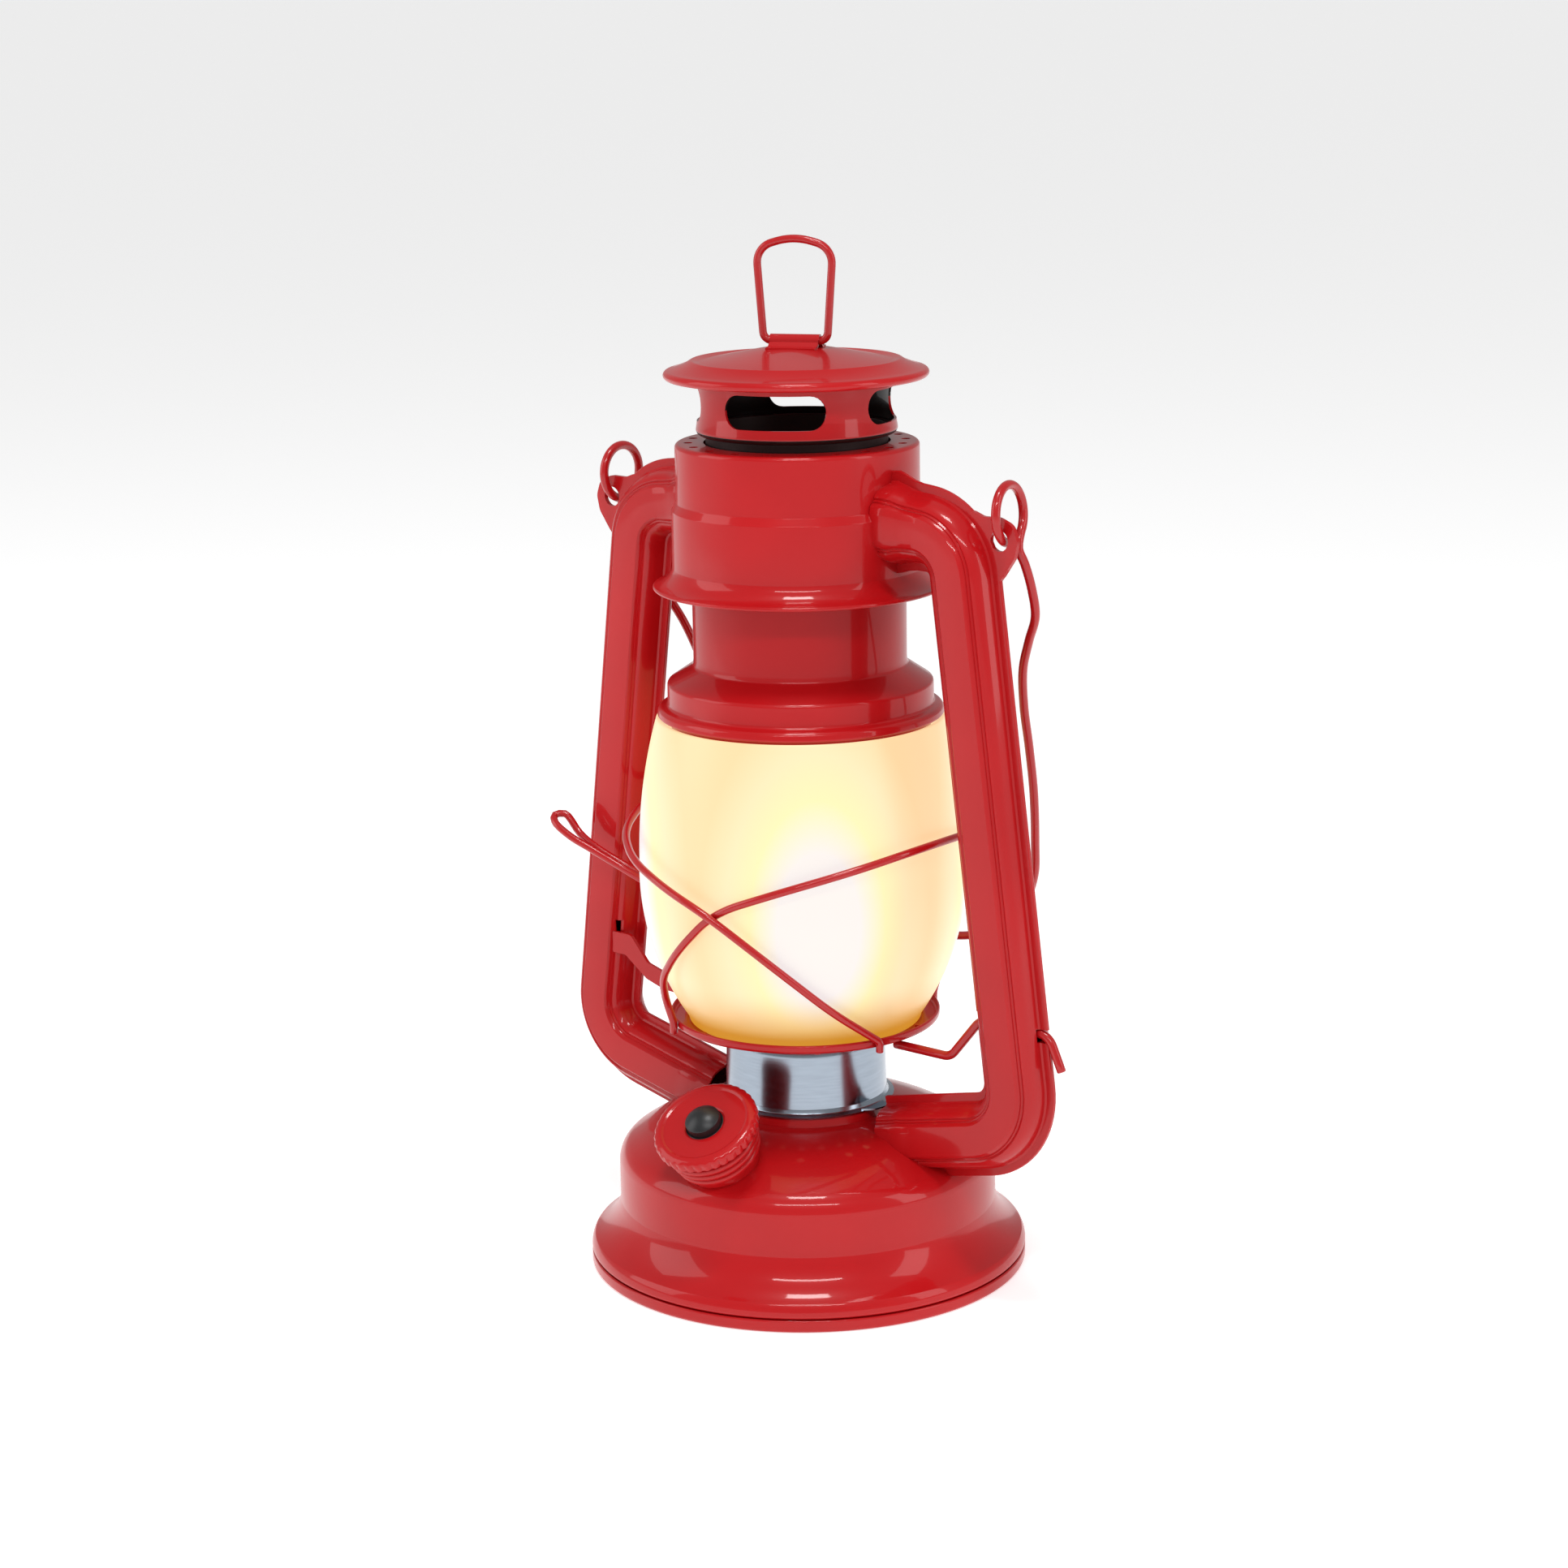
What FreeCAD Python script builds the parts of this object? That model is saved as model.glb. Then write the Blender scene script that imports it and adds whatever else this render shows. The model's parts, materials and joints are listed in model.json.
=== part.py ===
import FreeCAD, Part
import math
import os

import Sketcher

# A battery hurricane lantern: stamped fount on a rolled base, two side tubes, a hood with a lifting
# crown, a frosted globe in a wire guard, and a lamp column inside. Millimetres, +Z up. The origin is
# the centre of the base on the surface it stands on; the side tubes lie along X, the cap is at -Y.

V = FreeCAD.Vector
UP = V(0, 0, 1)
DOC = FreeCAD.newDocument("HurricaneLantern")
SHEET = DOC.addObject("Spreadsheet::Sheet", "Sizes")
NODES = {}


class Size:
    """A length that knows both its value and the spreadsheet expression that gives it."""

    def __init__(self, text, value):
        self.text = text
        self.value = value

    def _join(self, other, sign, result):
        other_text = other.text if isinstance(other, Size) else repr(float(other))
        return Size("(" + self.text + " " + sign + " " + other_text + ")", result)

    def __add__(self, other):
        return self._join(other, "+", self.value + number(other))

    def __sub__(self, other):
        return self._join(other, "-", self.value - number(other))

    def __mul__(self, other):
        return self._join(other, "*", self.value * number(other))

    def __truediv__(self, other):
        return self._join(other, "/", self.value / number(other))

    def __rsub__(self, other):
        return Size("(" + repr(float(other)) + " - " + self.text + ")", other - self.value)

    def __radd__(self, other):
        return self + other

    def __rmul__(self, other):
        return self * other

    def __neg__(self):
        return Size("(0 - " + self.text + ")", -self.value)


def number(size):
    """The plain value of a Size or of a number."""
    return size.value if isinstance(size, Size) else float(size)


def size(alias, value):
    """Write one driving dimension into the spreadsheet and give it back as a Size."""
    size.row += 1
    cell = "B" + str(size.row)
    SHEET.set("A" + str(size.row), alias.replace("_", " "))
    SHEET.set(cell, str(value))
    SHEET.setAlias(cell, alias)
    return Size("Sizes." + alias, float(value))


size.row = 0

# ---- driving dimensions -------------------------------------------------------------------------
# base and fount
base_radius = size("base_radius", 57.15)
rim_height = size("rim_height", 3.3)
sheet_wall = size("sheet_wall", 0.8)
pan_floor = size("pan_floor_height", 1.6)
door_hole = size("door_hole_radius", 40.0)
flare_height = size("flare_height", 15.0)
body_radius = size("body_radius", 49.3)
shoulder_height = size("shoulder_height", 27.5)
shoulder_inset = size("shoulder_inset", 3.2)
shoulder_rise = size("shoulder_rise", 5.2)
dome_top = size("dome_top_height", 42.0)
dome_mouth = size("dome_mouth_radius", 17.0)
neck_seat = size("neck_seat_radius", 23.2)
# burner
burner_ring_height = size("burner_ring_height", 2.6)
collar_radius = size("collar_radius", 21.0)
collar_height = size("collar_height", 13.8)
collar_wall = size("collar_wall", 0.6)
collar_spout = size("collar_spout_radius", 15.0)
collar_top = size("collar_top_height", 64.1)
# globe and its plate
plate_floor = size("plate_floor_height", 64.5)
plate_radius = size("plate_radius", 35.0)
plate_rim = size("plate_rim_height", 3.2)
plate_clearance = size("plate_clearance", 0.6)
globe_foot = size("globe_foot_radius", 30.1)
globe_belly = size("globe_belly_radius", 42.0)
globe_belly_height = size("globe_belly_height", 109.0)
globe_mouth = size("globe_mouth_radius", 36.9)
globe_top = size("globe_top_height", 145.6)
glass_wall = size("glass_wall", 2.0)
wire_radius = size("wire_radius", 1.0)
guard_clearance = size("guard_clearance", 2.9)
globe_travel = size("globe_travel", 3.0)
# chimney, hood and crown
seat_gap = size("seat_gap", 0.3)
thin_wall = size("thin_wall", 0.7)
skirt_lip = size("skirt_lip_radius", 36.6)
skirt_radius = size("skirt_radius", 33.9)
chimney_radius = size("chimney_radius", 27.15)
chimney_top = size("chimney_top_height", 190.0)
hood_radius = size("hood_radius", 31.65)
hood_lip = size("hood_lip_radius", 37.0)
hood_bottom = size("hood_bottom_height", 178.6)
hood_step = size("hood_step_height", 198.0)
hood_inset = size("hood_step_inset", 0.75)
hood_top = size("hood_top_height", 215.4)
crown_neck = size("crown_neck_radius", 22.9)
crown_clearance = size("crown_clearance", 0.6)
vent_bottom = size("vent_bottom_height", 217.5)
vent_radius = size("vent_radius", 25.3)
vent_top = size("vent_top_height", 231.0)
vent_slot_height = size("vent_slot_height", 8.4)
vent_slot_angle = size("vent_slot_angle", 62.0)
vent_turn = size("vent_turn_angle", 24.0)
lid_radius = size("lid_radius", 33.25)
lid_top = size("lid_top_height", 238.6)
crown_travel = size("crown_travel", 8.0)
# lid loop
loop_axis = size("loop_axis_height", 240.4)
loop_top = size("loop_top_height", 266.7)
loop_foot = size("loop_foot_width", 16.5)
loop_head = size("loop_head_width", 20.0)
tab_width = size("tab_width", 13.0)
# side tubes
tube_half_width = size("tube_half_width", 8.2)
tube_depth = size("tube_depth", 7.3)
flange_width = size("flange_width", 2.5)
flange_thick = size("flange_thickness", 0.6)
tube_corner_top = size("tube_corner_top_x", 51.5)
tube_corner_low = size("tube_corner_low_x", 70.6)
tube_top = size("tube_top_height", 196.3)
tube_low = size("tube_low_height", 47.7)
tube_drop = size("tube_end_drop", 13.0)
tube_run = size("tube_low_run", 45.5)
tube_bend = size("tube_bend_radius", 14.0)
ear_reach = size("ear_hole_x", 63.35)
ear_height = size("ear_hole_height", 196.0)
ear_radius = size("ear_radius", 5.6)
ear_hole = size("ear_hole_radius", 2.6)
# bail
bail_wire = size("bail_wire_radius", 1.15)
eye_radius = size("eye_ring_radius", 7.0)
bail_length = size("bail_length", 133.0)
bail_lean = size("bail_lean_angle", 20.0)
# cap and button
cap_radius = size("cap_radius", 14.1)
cap_skirt = size("cap_skirt_height", 4.7)
neck_depth = size("neck_depth", 18.0)
cap_tilt = size("cap_tilt_angle", 33.0)
cap_turn = size("cap_turn_angle", -84.0)
cap_reach = size("cap_face_reach", 46.4)
cap_face = size("cap_face_height", 49.4)
button_radius = size("button_radius", 4.55)
button_clearance = size("button_clearance", 0.45)
button_travel = size("button_travel", 1.3)
# lever and bracket
lever_pivot = size("lever_pivot_x", 68.0)
lever_height = size("lever_pivot_height", 74.5)
lever_foot = size("lever_foot_x", 30.0)
arm_slot_height = size("arm_slot_height", 9.3)
arm_slot_floor = size("arm_slot_floor", 72.6)
arm_height = size("arm_height", 5.8)
arm_offset = size("arm_offset_y", -6.0)
# battery compartment
box_radius = size("battery_box_radius", 39.5)
cell_radius = size("cell_radius", 7.1)
cell_length = size("cell_length", 49.5)
cell_pitch = size("cell_pitch", 14.6)
cell_height = size("cell_axis_height", 12.6)
tray_floor = size("tray_floor_height", 8.5)
tray_roof = size("tray_roof_height", 21.5)
bayonet_height = size("bayonet_groove_height", 5.0)
contact_room = size("contact_room", 3.2)
lead_radius = size("lead_radius", 0.6)
lead_foot = size("lead_foot_height", 21.6)
# lamp column
post_radius = size("post_radius", 7.0)
post_top = size("post_top_height", 118.0)
led_radius = size("led_radius", 1.5)
led_low = size("led_low_ring_height", 80.0)
led_pitch = size("led_ring_pitch", 15.0)


# ---- making and binding document objects --------------------------------------------------------
def bind(item, name, value):
    """Set a property, through an expression when its value is a Size."""
    if isinstance(value, Size):
        item.setExpression(name, value.text)
    else:
        item.setExpression(name, repr(float(value)))


def place(item, corner, turn=None):
    """Place an object at a corner of Sizes, turned by an optional rotation."""
    if turn is not None:
        item.Placement = FreeCAD.Placement(V(0, 0, 0), turn)
    for axis, value in zip("xyz", corner):
        bind(item, "Placement.Base." + axis, value)


def node(label, item):
    """Keep an object as one sub-part of the lantern under its own name."""
    item.Label = label
    NODES[label] = item
    return item


def cylinder(name, radius, height, corner=(0, 0, 0), turn=None):
    item = DOC.addObject("Part::Cylinder", name)
    bind(item, "Radius", radius)
    bind(item, "Height", height)
    place(item, corner, turn)
    return item


def block(name, low, high):
    """A box between two corners."""
    item = DOC.addObject("Part::Box", name)
    for prop, first, last in zip(("Length", "Width", "Height"), low, high):
        bind(item, prop, last - first)
    place(item, low)
    return item


def cut(name, base, tools):
    item = DOC.addObject("Part::Cut", name)
    item.Base = base
    item.Tool = tools[0] if len(tools) == 1 else group(name + "Tools", tools)
    return item


def fuse(name, pieces):
    item = DOC.addObject("Part::MultiFuse", name)
    item.Shapes = pieces
    return item


def group(name, pieces):
    """Several separate solids kept as one object."""
    item = DOC.addObject("Part::Compound", name)
    item.Links = pieces
    return item


def solid(name, shape):
    """A piece whose shape follows bent wire or stamped channel, made with Part's functions."""
    item = DOC.addObject("Part::Feature", name)
    item.Shape = shape
    return item


def add_edge(sketch, first, last, radius):
    """One side of a closed outline: a line, or an arc that bulges left when radius is positive."""
    start = V(number(first[0]), number(first[1]), 0)
    end = V(number(last[0]), number(last[1]), 0)
    if radius is None:
        index = sketch.addGeometry(Part.LineSegment(start, end))
        return index, 1, 2
    chord = end - start
    across = V(-chord.y, chord.x, 0).normalize()
    bend = abs(number(radius))
    sag = bend - math.sqrt(bend * bend - chord.Length ** 2 / 4)
    middle = (start + end) * 0.5 + across * math.copysign(sag, number(radius))
    if number(radius) > 0:
        return sketch.addGeometry(Part.Arc(end, middle, start)), 2, 1
    return sketch.addGeometry(Part.Arc(start, middle, end)), 1, 2


def outline(sketch, points):
    """Draw and dimension a closed outline; a third entry bends the side that leads to its point."""
    sides = []
    for i, last in enumerate(points):
        first = points[i - 1]
        sides.append(add_edge(sketch, first, last, last[2] if len(last) > 2 else None))
    for i, (index, start, end) in enumerate(sides):
        following, next_start, _ = sides[(i + 1) % len(sides)]
        sketch.addConstraint(Sketcher.Constraint("Coincident", index, end, following, next_start))
        for kind, value in zip(("DistanceX", "DistanceY"), points[i]):
            if abs(number(value)) < 1e-9:
                axis = -2 if kind == "DistanceX" else -1
                sketch.addConstraint(Sketcher.Constraint("PointOnObject", index, end, axis))
            else:
                dimension(sketch, Sketcher.Constraint(kind, index, end, number(value)), value)
        if len(points[i]) > 2:
            bend = points[i][2]
            dimension(sketch, Sketcher.Constraint("Radius", index, abs(number(bend))), bend)


def dimension(sketch, constraint, value):
    """Add a constraint and tie it to the spreadsheet when its value is a Size."""
    spot = sketch.addConstraint(constraint)
    if isinstance(value, Size):
        text = "abs(" + value.text + ")" if value.value < 0 else value.text
        sketch.setExpression("Constraints[" + str(spot) + "]", text)


def turned(name, points):
    """A solid of revolution about Z whose outline is a list of (radius, height) points."""
    if any(len(point) > 2 for point in points):
        return turned_with_arcs(name, points)
    body = DOC.addObject("PartDesign::Body", name)
    sketch = body.newObject("Sketcher::SketchObject", name + "Outline")
    plane = [item for item in body.Origin.OriginFeatures if item.Role == "XZ_Plane"][0]
    sketch.AttachmentSupport = [(plane, "")]
    sketch.MapMode = "FlatFace"
    outline(sketch, points)
    turn = body.newObject("PartDesign::Revolution", name + "Turned")
    turn.Profile = sketch
    turn.ReferenceAxis = (sketch, ["V_Axis"])
    turn.Angle = 360.0
    return body


def turned_with_arcs(name, points):
    """The same for an outline with arcs, which Part's own revolution takes."""
    sketch = DOC.addObject("Sketcher::SketchObject", name + "Outline")
    sketch.Placement = FreeCAD.Placement(V(0, 0, 0), FreeCAD.Rotation(V(1, 0, 0), 90))
    outline(sketch, points)
    turn = DOC.addObject("Part::Revolution", name)
    turn.Source = sketch
    turn.Axis = UP
    turn.Base = V(0, 0, 0)
    turn.Angle = 360.0
    turn.Solid = True
    return turn


def bent_path(points, radii, closed=False):
    """Straight runs joined by tangent arcs through the corners of a polyline."""
    corners = points if closed else points[1:-1]
    bends = []
    for i, corner in enumerate(corners):
        before = points[i - 1] if closed else points[i]
        after = points[(i + 1) % len(points)] if closed else points[i + 2]
        into = (before - corner).normalize()
        out = (after - corner).normalize()
        half = into.getAngle(out) / 2
        radius = radii[i] if isinstance(radii, list) else radii
        room = 0.47 * min((before - corner).Length, (after - corner).Length)
        reach = min(radius / math.tan(half), room)
        bends.append(tangent_arc(corner, into, out, reach, half))
    edges = []
    last = bends[-1][2] if closed else points[0]
    for start, arc, end in bends:
        edges.append(Part.LineSegment(last, start).toShape())
        edges.append(arc.toShape())
        last = end
    if not closed:
        edges.append(Part.LineSegment(last, points[-1]).toShape())
    return Part.Wire(edges)


def tangent_arc(corner, into, out, reach, half):
    """The arc that leaves one run and joins the next at the same distance from their corner."""
    start = corner + into * reach
    end = corner + out * reach
    toward = (into + out).normalize()
    centre_distance = reach / math.cos(half)
    radius = reach * math.tan(half)
    middle = corner + toward * (centre_distance - radius)
    return start, Part.Arc(start, middle, end), end


def wire_rod(path, radius):
    """Round wire along a path."""
    start = path.Edges[0].valueAt(path.Edges[0].FirstParameter)
    along = path.Edges[0].tangentAt(path.Edges[0].FirstParameter)
    ring = Part.Wire(Part.Circle(start, along, radius).toShape())
    rod = path.makePipeShell([ring], True, False)
    if rod.Volume < 0:
        rod.reverse()
    return rod


def polar(angle, radius, height):
    """A point given by its azimuth from +X in degrees."""
    turn = math.radians(angle)
    return V(radius * math.cos(turn), radius * math.sin(turn), height)


# ---- base and fount -----------------------------------------------------------------------------
def fount_profile():
    """The outside of the fount from its foot up to the neck seat."""
    return [
        (base_radius - sheet_wall - 0.1, pan_floor + sheet_wall),
        (base_radius - sheet_wall - 0.1, rim_height + 0.1),
        (base_radius, rim_height + 1.0),
        (base_radius - 0.9, rim_height + 4.0, -5.0),
        (body_radius + 0.5, flare_height, 14.0),
        (body_radius, flare_height + 2.0),
        (body_radius, shoulder_height),
        (body_radius - shoulder_inset, shoulder_height + shoulder_rise, -6.5),
        (neck_seat, dome_top, -60.0),
    ]


def base_pan():
    """The rolled base ring that the lantern stands on, and the pan inside it."""
    points = [
        (door_hole, pan_floor),
        (base_radius - sheet_wall, pan_floor),
        (base_radius - sheet_wall, 0),
        (base_radius - 0.3, 0),
        (base_radius, 0.4),
        (base_radius, rim_height),
        (base_radius - sheet_wall, rim_height),
        (base_radius - sheet_wall, pan_floor + sheet_wall),
        (door_hole, pan_floor + sheet_wall),
    ]
    node("base_pan", turned("BasePan", points))


def fount_shell():
    """The stamped shell from the base's seam to the dome, pierced for the switch leads."""
    outer = fount_profile()
    inner = [
        (dome_mouth, dome_top),
        (dome_mouth, dome_top - sheet_wall),
        (neck_seat - 0.3, dome_top - sheet_wall),
        (body_radius - shoulder_inset - 0.5, shoulder_height + shoulder_rise - sheet_wall, 60.0),
        (body_radius - sheet_wall, shoulder_height - 0.2, 5.7),
        (body_radius - sheet_wall, flare_height + 2.0),
        (body_radius - 0.4, flare_height - 0.6),
        (base_radius - 2.2, rim_height + 3.5, -14.6),
        (base_radius - sheet_wall * 2 - 0.1, rim_height + 1.2),
        (base_radius - sheet_wall * 2 - 0.1, pan_floor + sheet_wall),
    ]
    shell = turned("FountShell", outer + inner)
    wire_hole = cylinder("SwitchWireHole", 5.0, 12.0, cap_point(-21.0), cap_rotation())
    node("fount_shell", cut("FountPierced", shell, [wire_hole]))


def fount_plug(name):
    """The whole space inside the fount's outer surface, used to trim what stands on it."""
    points = fount_profile() + [(0, dome_top), (0, pan_floor + sheet_wall)]
    return turned(name, points)


# ---- filler cap with the push switch ------------------------------------------------------------
def cap_rotation():
    """Turns +Z to the cap's axis, which leans outward from the dome."""
    lean = FreeCAD.Rotation(V(0, 1, 0), cap_tilt.value)
    return FreeCAD.Rotation(UP, cap_turn.value).multiply(lean)


def cap_point(height):
    """A point on the cap's axis at a height above the middle of its face."""
    axis = cap_rotation().multVec(UP)
    face = polar(cap_turn.value, cap_reach.value, cap_face.value)
    return tuple(face + axis * height)


def filler_cap():
    """A flat face with a bevelled edge and a short skirt, pierced for the button."""
    wall = 0.6
    hole = button_radius + button_clearance
    depth = neck_depth - 2.0
    points = [
        (hole, depth),
        (cap_radius - 2.5, depth),
        (cap_radius, depth - 1.1),
        (cap_radius, depth - cap_skirt),
        (cap_radius - wall, depth - cap_skirt),
        (cap_radius - wall, depth - 1.1 - wall),
        (cap_radius - 2.7, depth - wall),
        (hole, depth - wall),
    ]
    cap = turned("FillerCap", points)
    place(cap, cap_point(-depth.value), cap_rotation())
    node("filler_cap", cap)


def filler_neck():
    """The ridged neck below the cap, narrowing to its seat on the dome."""
    wall = 0.8
    band = 4.4
    pitch = 2.3
    taper = 0.95
    top = neck_depth - cap_skirt + 2.6
    points = [(cap_radius - 1.5, top), (cap_radius - 1.5, top - band)]
    for ridge in range(3):
        foot = top - band - pitch * (ridge + 1)
        radius = cap_radius - 2.3 - taper * ridge
        points.append((radius, foot + 1.7))
        points.append((radius + 0.1, foot + 0.4))
    points.append((cap_radius - 4.6, 0))
    points.append((cap_radius - 4.6 - wall, 0))
    points.append((cap_radius - 4.6 - wall, top - 8.0))
    points.append((cap_radius - 1.5 - wall, top - 3.8))
    points.append((cap_radius - 1.5 - wall, top))
    neck = turned("NeckBlank", points)
    place(neck, cap_point(-neck_depth.value), cap_rotation())
    node("filler_neck", cut("FillerNeck", neck, [fount_plug("NeckTrim")]))


def power_switch():
    """A push switch held under the cap's face, and the domed button that it carries."""
    seat = 3.4
    tall = 8.0
    case = cylinder("SwitchCase", 5.8, tall, cap_point(-seat - tall), cap_rotation())
    flange = cylinder("SwitchFlange", cap_radius - 2.5, 1.0, cap_point(-seat - 1.0), cap_rotation())
    node("switch_body", fuse("SwitchBody", [case, flange]))
    head = 3.0
    base = 2.0
    points = [
        (0, 0),
        (button_radius + 1.3, 0),
        (button_radius + 1.3, base - 0.9),
        (button_radius, base - 0.9),
        (button_radius, base + head * 0.45),
        (0.4, base + head, -6.4),
        (0, base + head),
    ]
    button = turned("PowerButton", points)
    place(button, cap_point(-base), cap_rotation())
    node("power_button", button)


# ---- burner and lamp column ---------------------------------------------------------------------
def burner():
    ring_top = dome_top + burner_ring_height
    points = [
        (dome_mouth, dome_top),
        (neck_seat - 0.6, dome_top),
        (neck_seat - 0.6, ring_top),
        (dome_mouth, ring_top),
    ]
    node("burner_ring", turned("BurnerRing", points))
    shoulder = ring_top + collar_height
    points = [
        (collar_radius - 0.6, ring_top),
        (neck_seat - 0.3, ring_top),
        (neck_seat - 0.3, ring_top + collar_wall),
        (collar_radius, ring_top + 1.0),
        (collar_radius - 0.45, shoulder - 2.6),
        (collar_radius - 2.4, shoulder, -2.6),
        (collar_spout, shoulder + 0.6),
        (collar_spout, collar_top),
        (4.4, collar_top),
        (4.4, collar_top - collar_wall),
        (collar_spout - collar_wall, collar_top - collar_wall),
        (collar_spout - collar_wall, shoulder),
        (collar_radius - 2.9, shoulder - collar_wall),
        (collar_radius - 1.05, shoulder - 2.8),
        (collar_radius - 0.6, ring_top + 1.0),
    ]
    collar = turned("CollarDome", points)
    tabs = []
    long = 3.7
    wide = 4.0
    for name, low in (("Right", collar_radius - 0.5), ("Left", 0.5 - long - collar_radius)):
        high = (low + long, wide, ring_top + 0.5)
        tabs.append(block("CollarTab" + name, (low, -wide, ring_top), high))
    node("burner_collar", fuse("BurnerCollar", [collar] + tabs))


def lamp_column():
    """A hollow post through the globe with its lamps in three rings and a board inside."""
    wall = 1.5
    points = [
        (post_radius - wall, collar_top),
        (post_radius + 5.0, collar_top),
        (post_radius + 5.0, collar_top + 1.6),
        (post_radius, collar_top + 3.0),
        (post_radius, post_top - 1.5),
        (post_radius - 1.5, post_top),
        (0, post_top),
        (0, post_top - wall),
        (post_radius - wall, post_top - wall),
    ]
    post = turned("LedPost", points)
    node("led_post", post)
    half = post_radius - wall - 0.5
    thick = 0.6
    foot = collar_top + 4.0
    head = post_top - wall - 0.5
    node("led_board", block("LedBoard", (-half, -thick, foot), (half, thick, head)))
    lamps = []
    for level in range(3):
        for quarter in range(4):
            angle = 45.0 + 90.0 * quarter
            height = led_low.value + led_pitch.value * level
            corner = polar(angle, post_radius.value + 0.05, height)
            turn = FreeCAD.Rotation(UP, polar(angle, 1.0, 0.0))
            name = "Led" + str(level) + str(quarter)
            body = turned(name, led_outline())
            place(body, tuple(corner), turn)
            lamps.append(body)
    node("led_lamps", group("LedLamps", lamps))
    leads = []
    for side in (-1, 1):
        name = "LedLead" + ("Plus" if side > 0 else "Minus")
        leads.append(cylinder(name, lead_radius, foot - 0.2 - lead_foot, (2.0 * side, 0, lead_foot)))
    node("led_leads", group("LedLeads", leads))
    switch_leads()


def led_outline():
    """One lamp: a short barrel with a domed end."""
    top = led_radius + 1.6
    return [(0, 0), (led_radius, 0), (led_radius, 1.6), (0.3, top, -led_radius * 1.02), (0, top)]


def switch_leads():
    """Two insulated leads from the switch down to the battery tray."""
    leads = []
    axis = cap_rotation().multVec(UP)
    side_way = polar(cap_turn.value + 90.0, 1.0, 0.0)
    for side in (-1, 1):
        start = V(*cap_point(-11.5)) + side_way * (1.6 * side)
        corner = start - axis * 6.0
        end = V(corner.x, corner.y + 4.0, lead_foot.value)
        rod = wire_rod(bent_path([start, corner, end], 4.0), lead_radius.value)
        leads.append(solid("SwitchLead" + ("Right" if side > 0 else "Left"), rod))
    node("switch_leads", group("SwitchLeads", leads))


# ---- globe, plate and guard ---------------------------------------------------------------------
def globe_plate():
    floor = plate_floor
    hole = collar_spout + plate_clearance
    points = [
        (hole, floor),
        (plate_radius - 2.2, floor),
        (plate_radius, floor + 1.6, -2.6),
        (plate_radius, floor + plate_rim),
        (plate_radius - 0.9, floor + plate_rim),
        (plate_radius - 0.9, floor + 1.9),
        (plate_radius - 2.6, floor + sheet_wall, 1.9),
        (hole, floor + sheet_wall),
    ]
    plate = turned("PlateDish", points)
    holes = []
    count = 16
    for step in range(count):
        corner = polar(360.0 / count * (step + 0.5), 24.5, plate_floor.value - 1.0)
        holes.append(cylinder("PlateHole" + str(step), 1.5, 4.0, tuple(corner)))
    node("globe_plate", cut("GlobePlate", plate, holes))


def globe():
    foot = plate_floor + sheet_wall + 0.1
    points = [
        (globe_foot - glass_wall, foot),
        (globe_foot, foot),
        (globe_foot + 0.3, foot + 1.6),
        (globe_belly, globe_belly_height, -67.0),
        (globe_mouth, globe_top, -133.0),
        (globe_mouth - glass_wall, globe_top),
        (globe_belly - glass_wall, globe_belly_height, 131.0),
        (globe_foot + 0.3 - glass_wall, foot + 2.4, 65.0),
    ]
    node("globe", turned("Globe", points))


def guard_points():
    """One guard wire, by azimuth, radius and height, from rim to rim over the far side."""
    rim = plate_radius + wire_radius * 1.05
    foot = plate_floor + plate_rim * 0.9
    high = globe_belly_height + 9.7
    clear = globe_belly + guard_clearance + wire_radius
    return [
        (-19, rim.value, foot.value),
        (-40, rim.value + 3.6, foot.value + 10.0),
        (-60, clear.value - 2.6, foot.value + 23.0),
        (-81, clear.value + 0.4, high.value - 15.6),
        (-98, clear.value + 0.2, high.value - 10.8),
        (-119, clear.value + 0.2, high.value - 7.0),
        (-142, clear.value + 0.3, high.value - 3.8),
        (-166, clear.value + 0.2, high.value - 0.2),
        (-190, clear.value + 0.2, high.value),
        (-215, clear.value + 0.1, high.value - 3.5),
        (-240, clear.value - 0.4, high.value - 9.0),
        (-261, clear.value - 1.9, high.value - 15.4),
        (-278, clear.value - 2.6, foot.value + 23.5),
        (-292, clear.value - 5.0, foot.value + 14.0),
        (-300, rim.value + 2.0, foot.value + 6.5),
        (-300, rim.value, foot.value),
    ]


def guard_wires():
    """Two equal wires, half a turn apart, that cross in front of and behind the globe."""
    for index, name in enumerate(("guard_wire_a", "guard_wire_b")):
        points = [polar(a + 180.0 * index, r, z) for a, r, z in guard_points()]
        rod = wire_rod(bent_path(points, 60.0), wire_radius.value)
        node(name, solid("GuardWire" + str(index), rod))


def thumb_loop():
    """A hairpin from the plate rim, past the front of the left tube, for tilting the globe."""
    rim = plate_radius.value + wire_radius.value * 1.05
    foot = plate_floor.value + 2.2
    near = wire_radius.value * 1.1
    path = [
        V(-rim, 5.0 - near, foot),
        V(-rim - 10.2, 3.0 - near, foot + 21.0),
        V(-rim - 11.8, -9.0 - near, foot + 29.5),
        V(-rim - 25.0, -13.6 - near, foot + 36.6),
        V(-rim - 31.5, -14.2 - near * 1.9, foot + 39.6),
        V(-rim - 38.6, -14.2 - near * 1.7, foot + 43.2),
        V(-rim - 38.2, -14.2 + near * 1.7, foot + 44.6),
        V(-rim - 31.0, -14.2 + near * 1.9, foot + 42.2),
        V(-rim - 24.0, -13.6 + near, foot + 38.0),
        V(-rim - 11.2, -9.0 + near, foot + 30.5),
        V(-rim - 10.2, 3.0 + near, foot + 22.0),
        V(-rim, 5.0 + near, foot),
    ]
    rod = wire_rod(bent_path(path, 6.0), wire_radius.value)
    node("thumb_loop", solid("ThumbLoop", rod))


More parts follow.
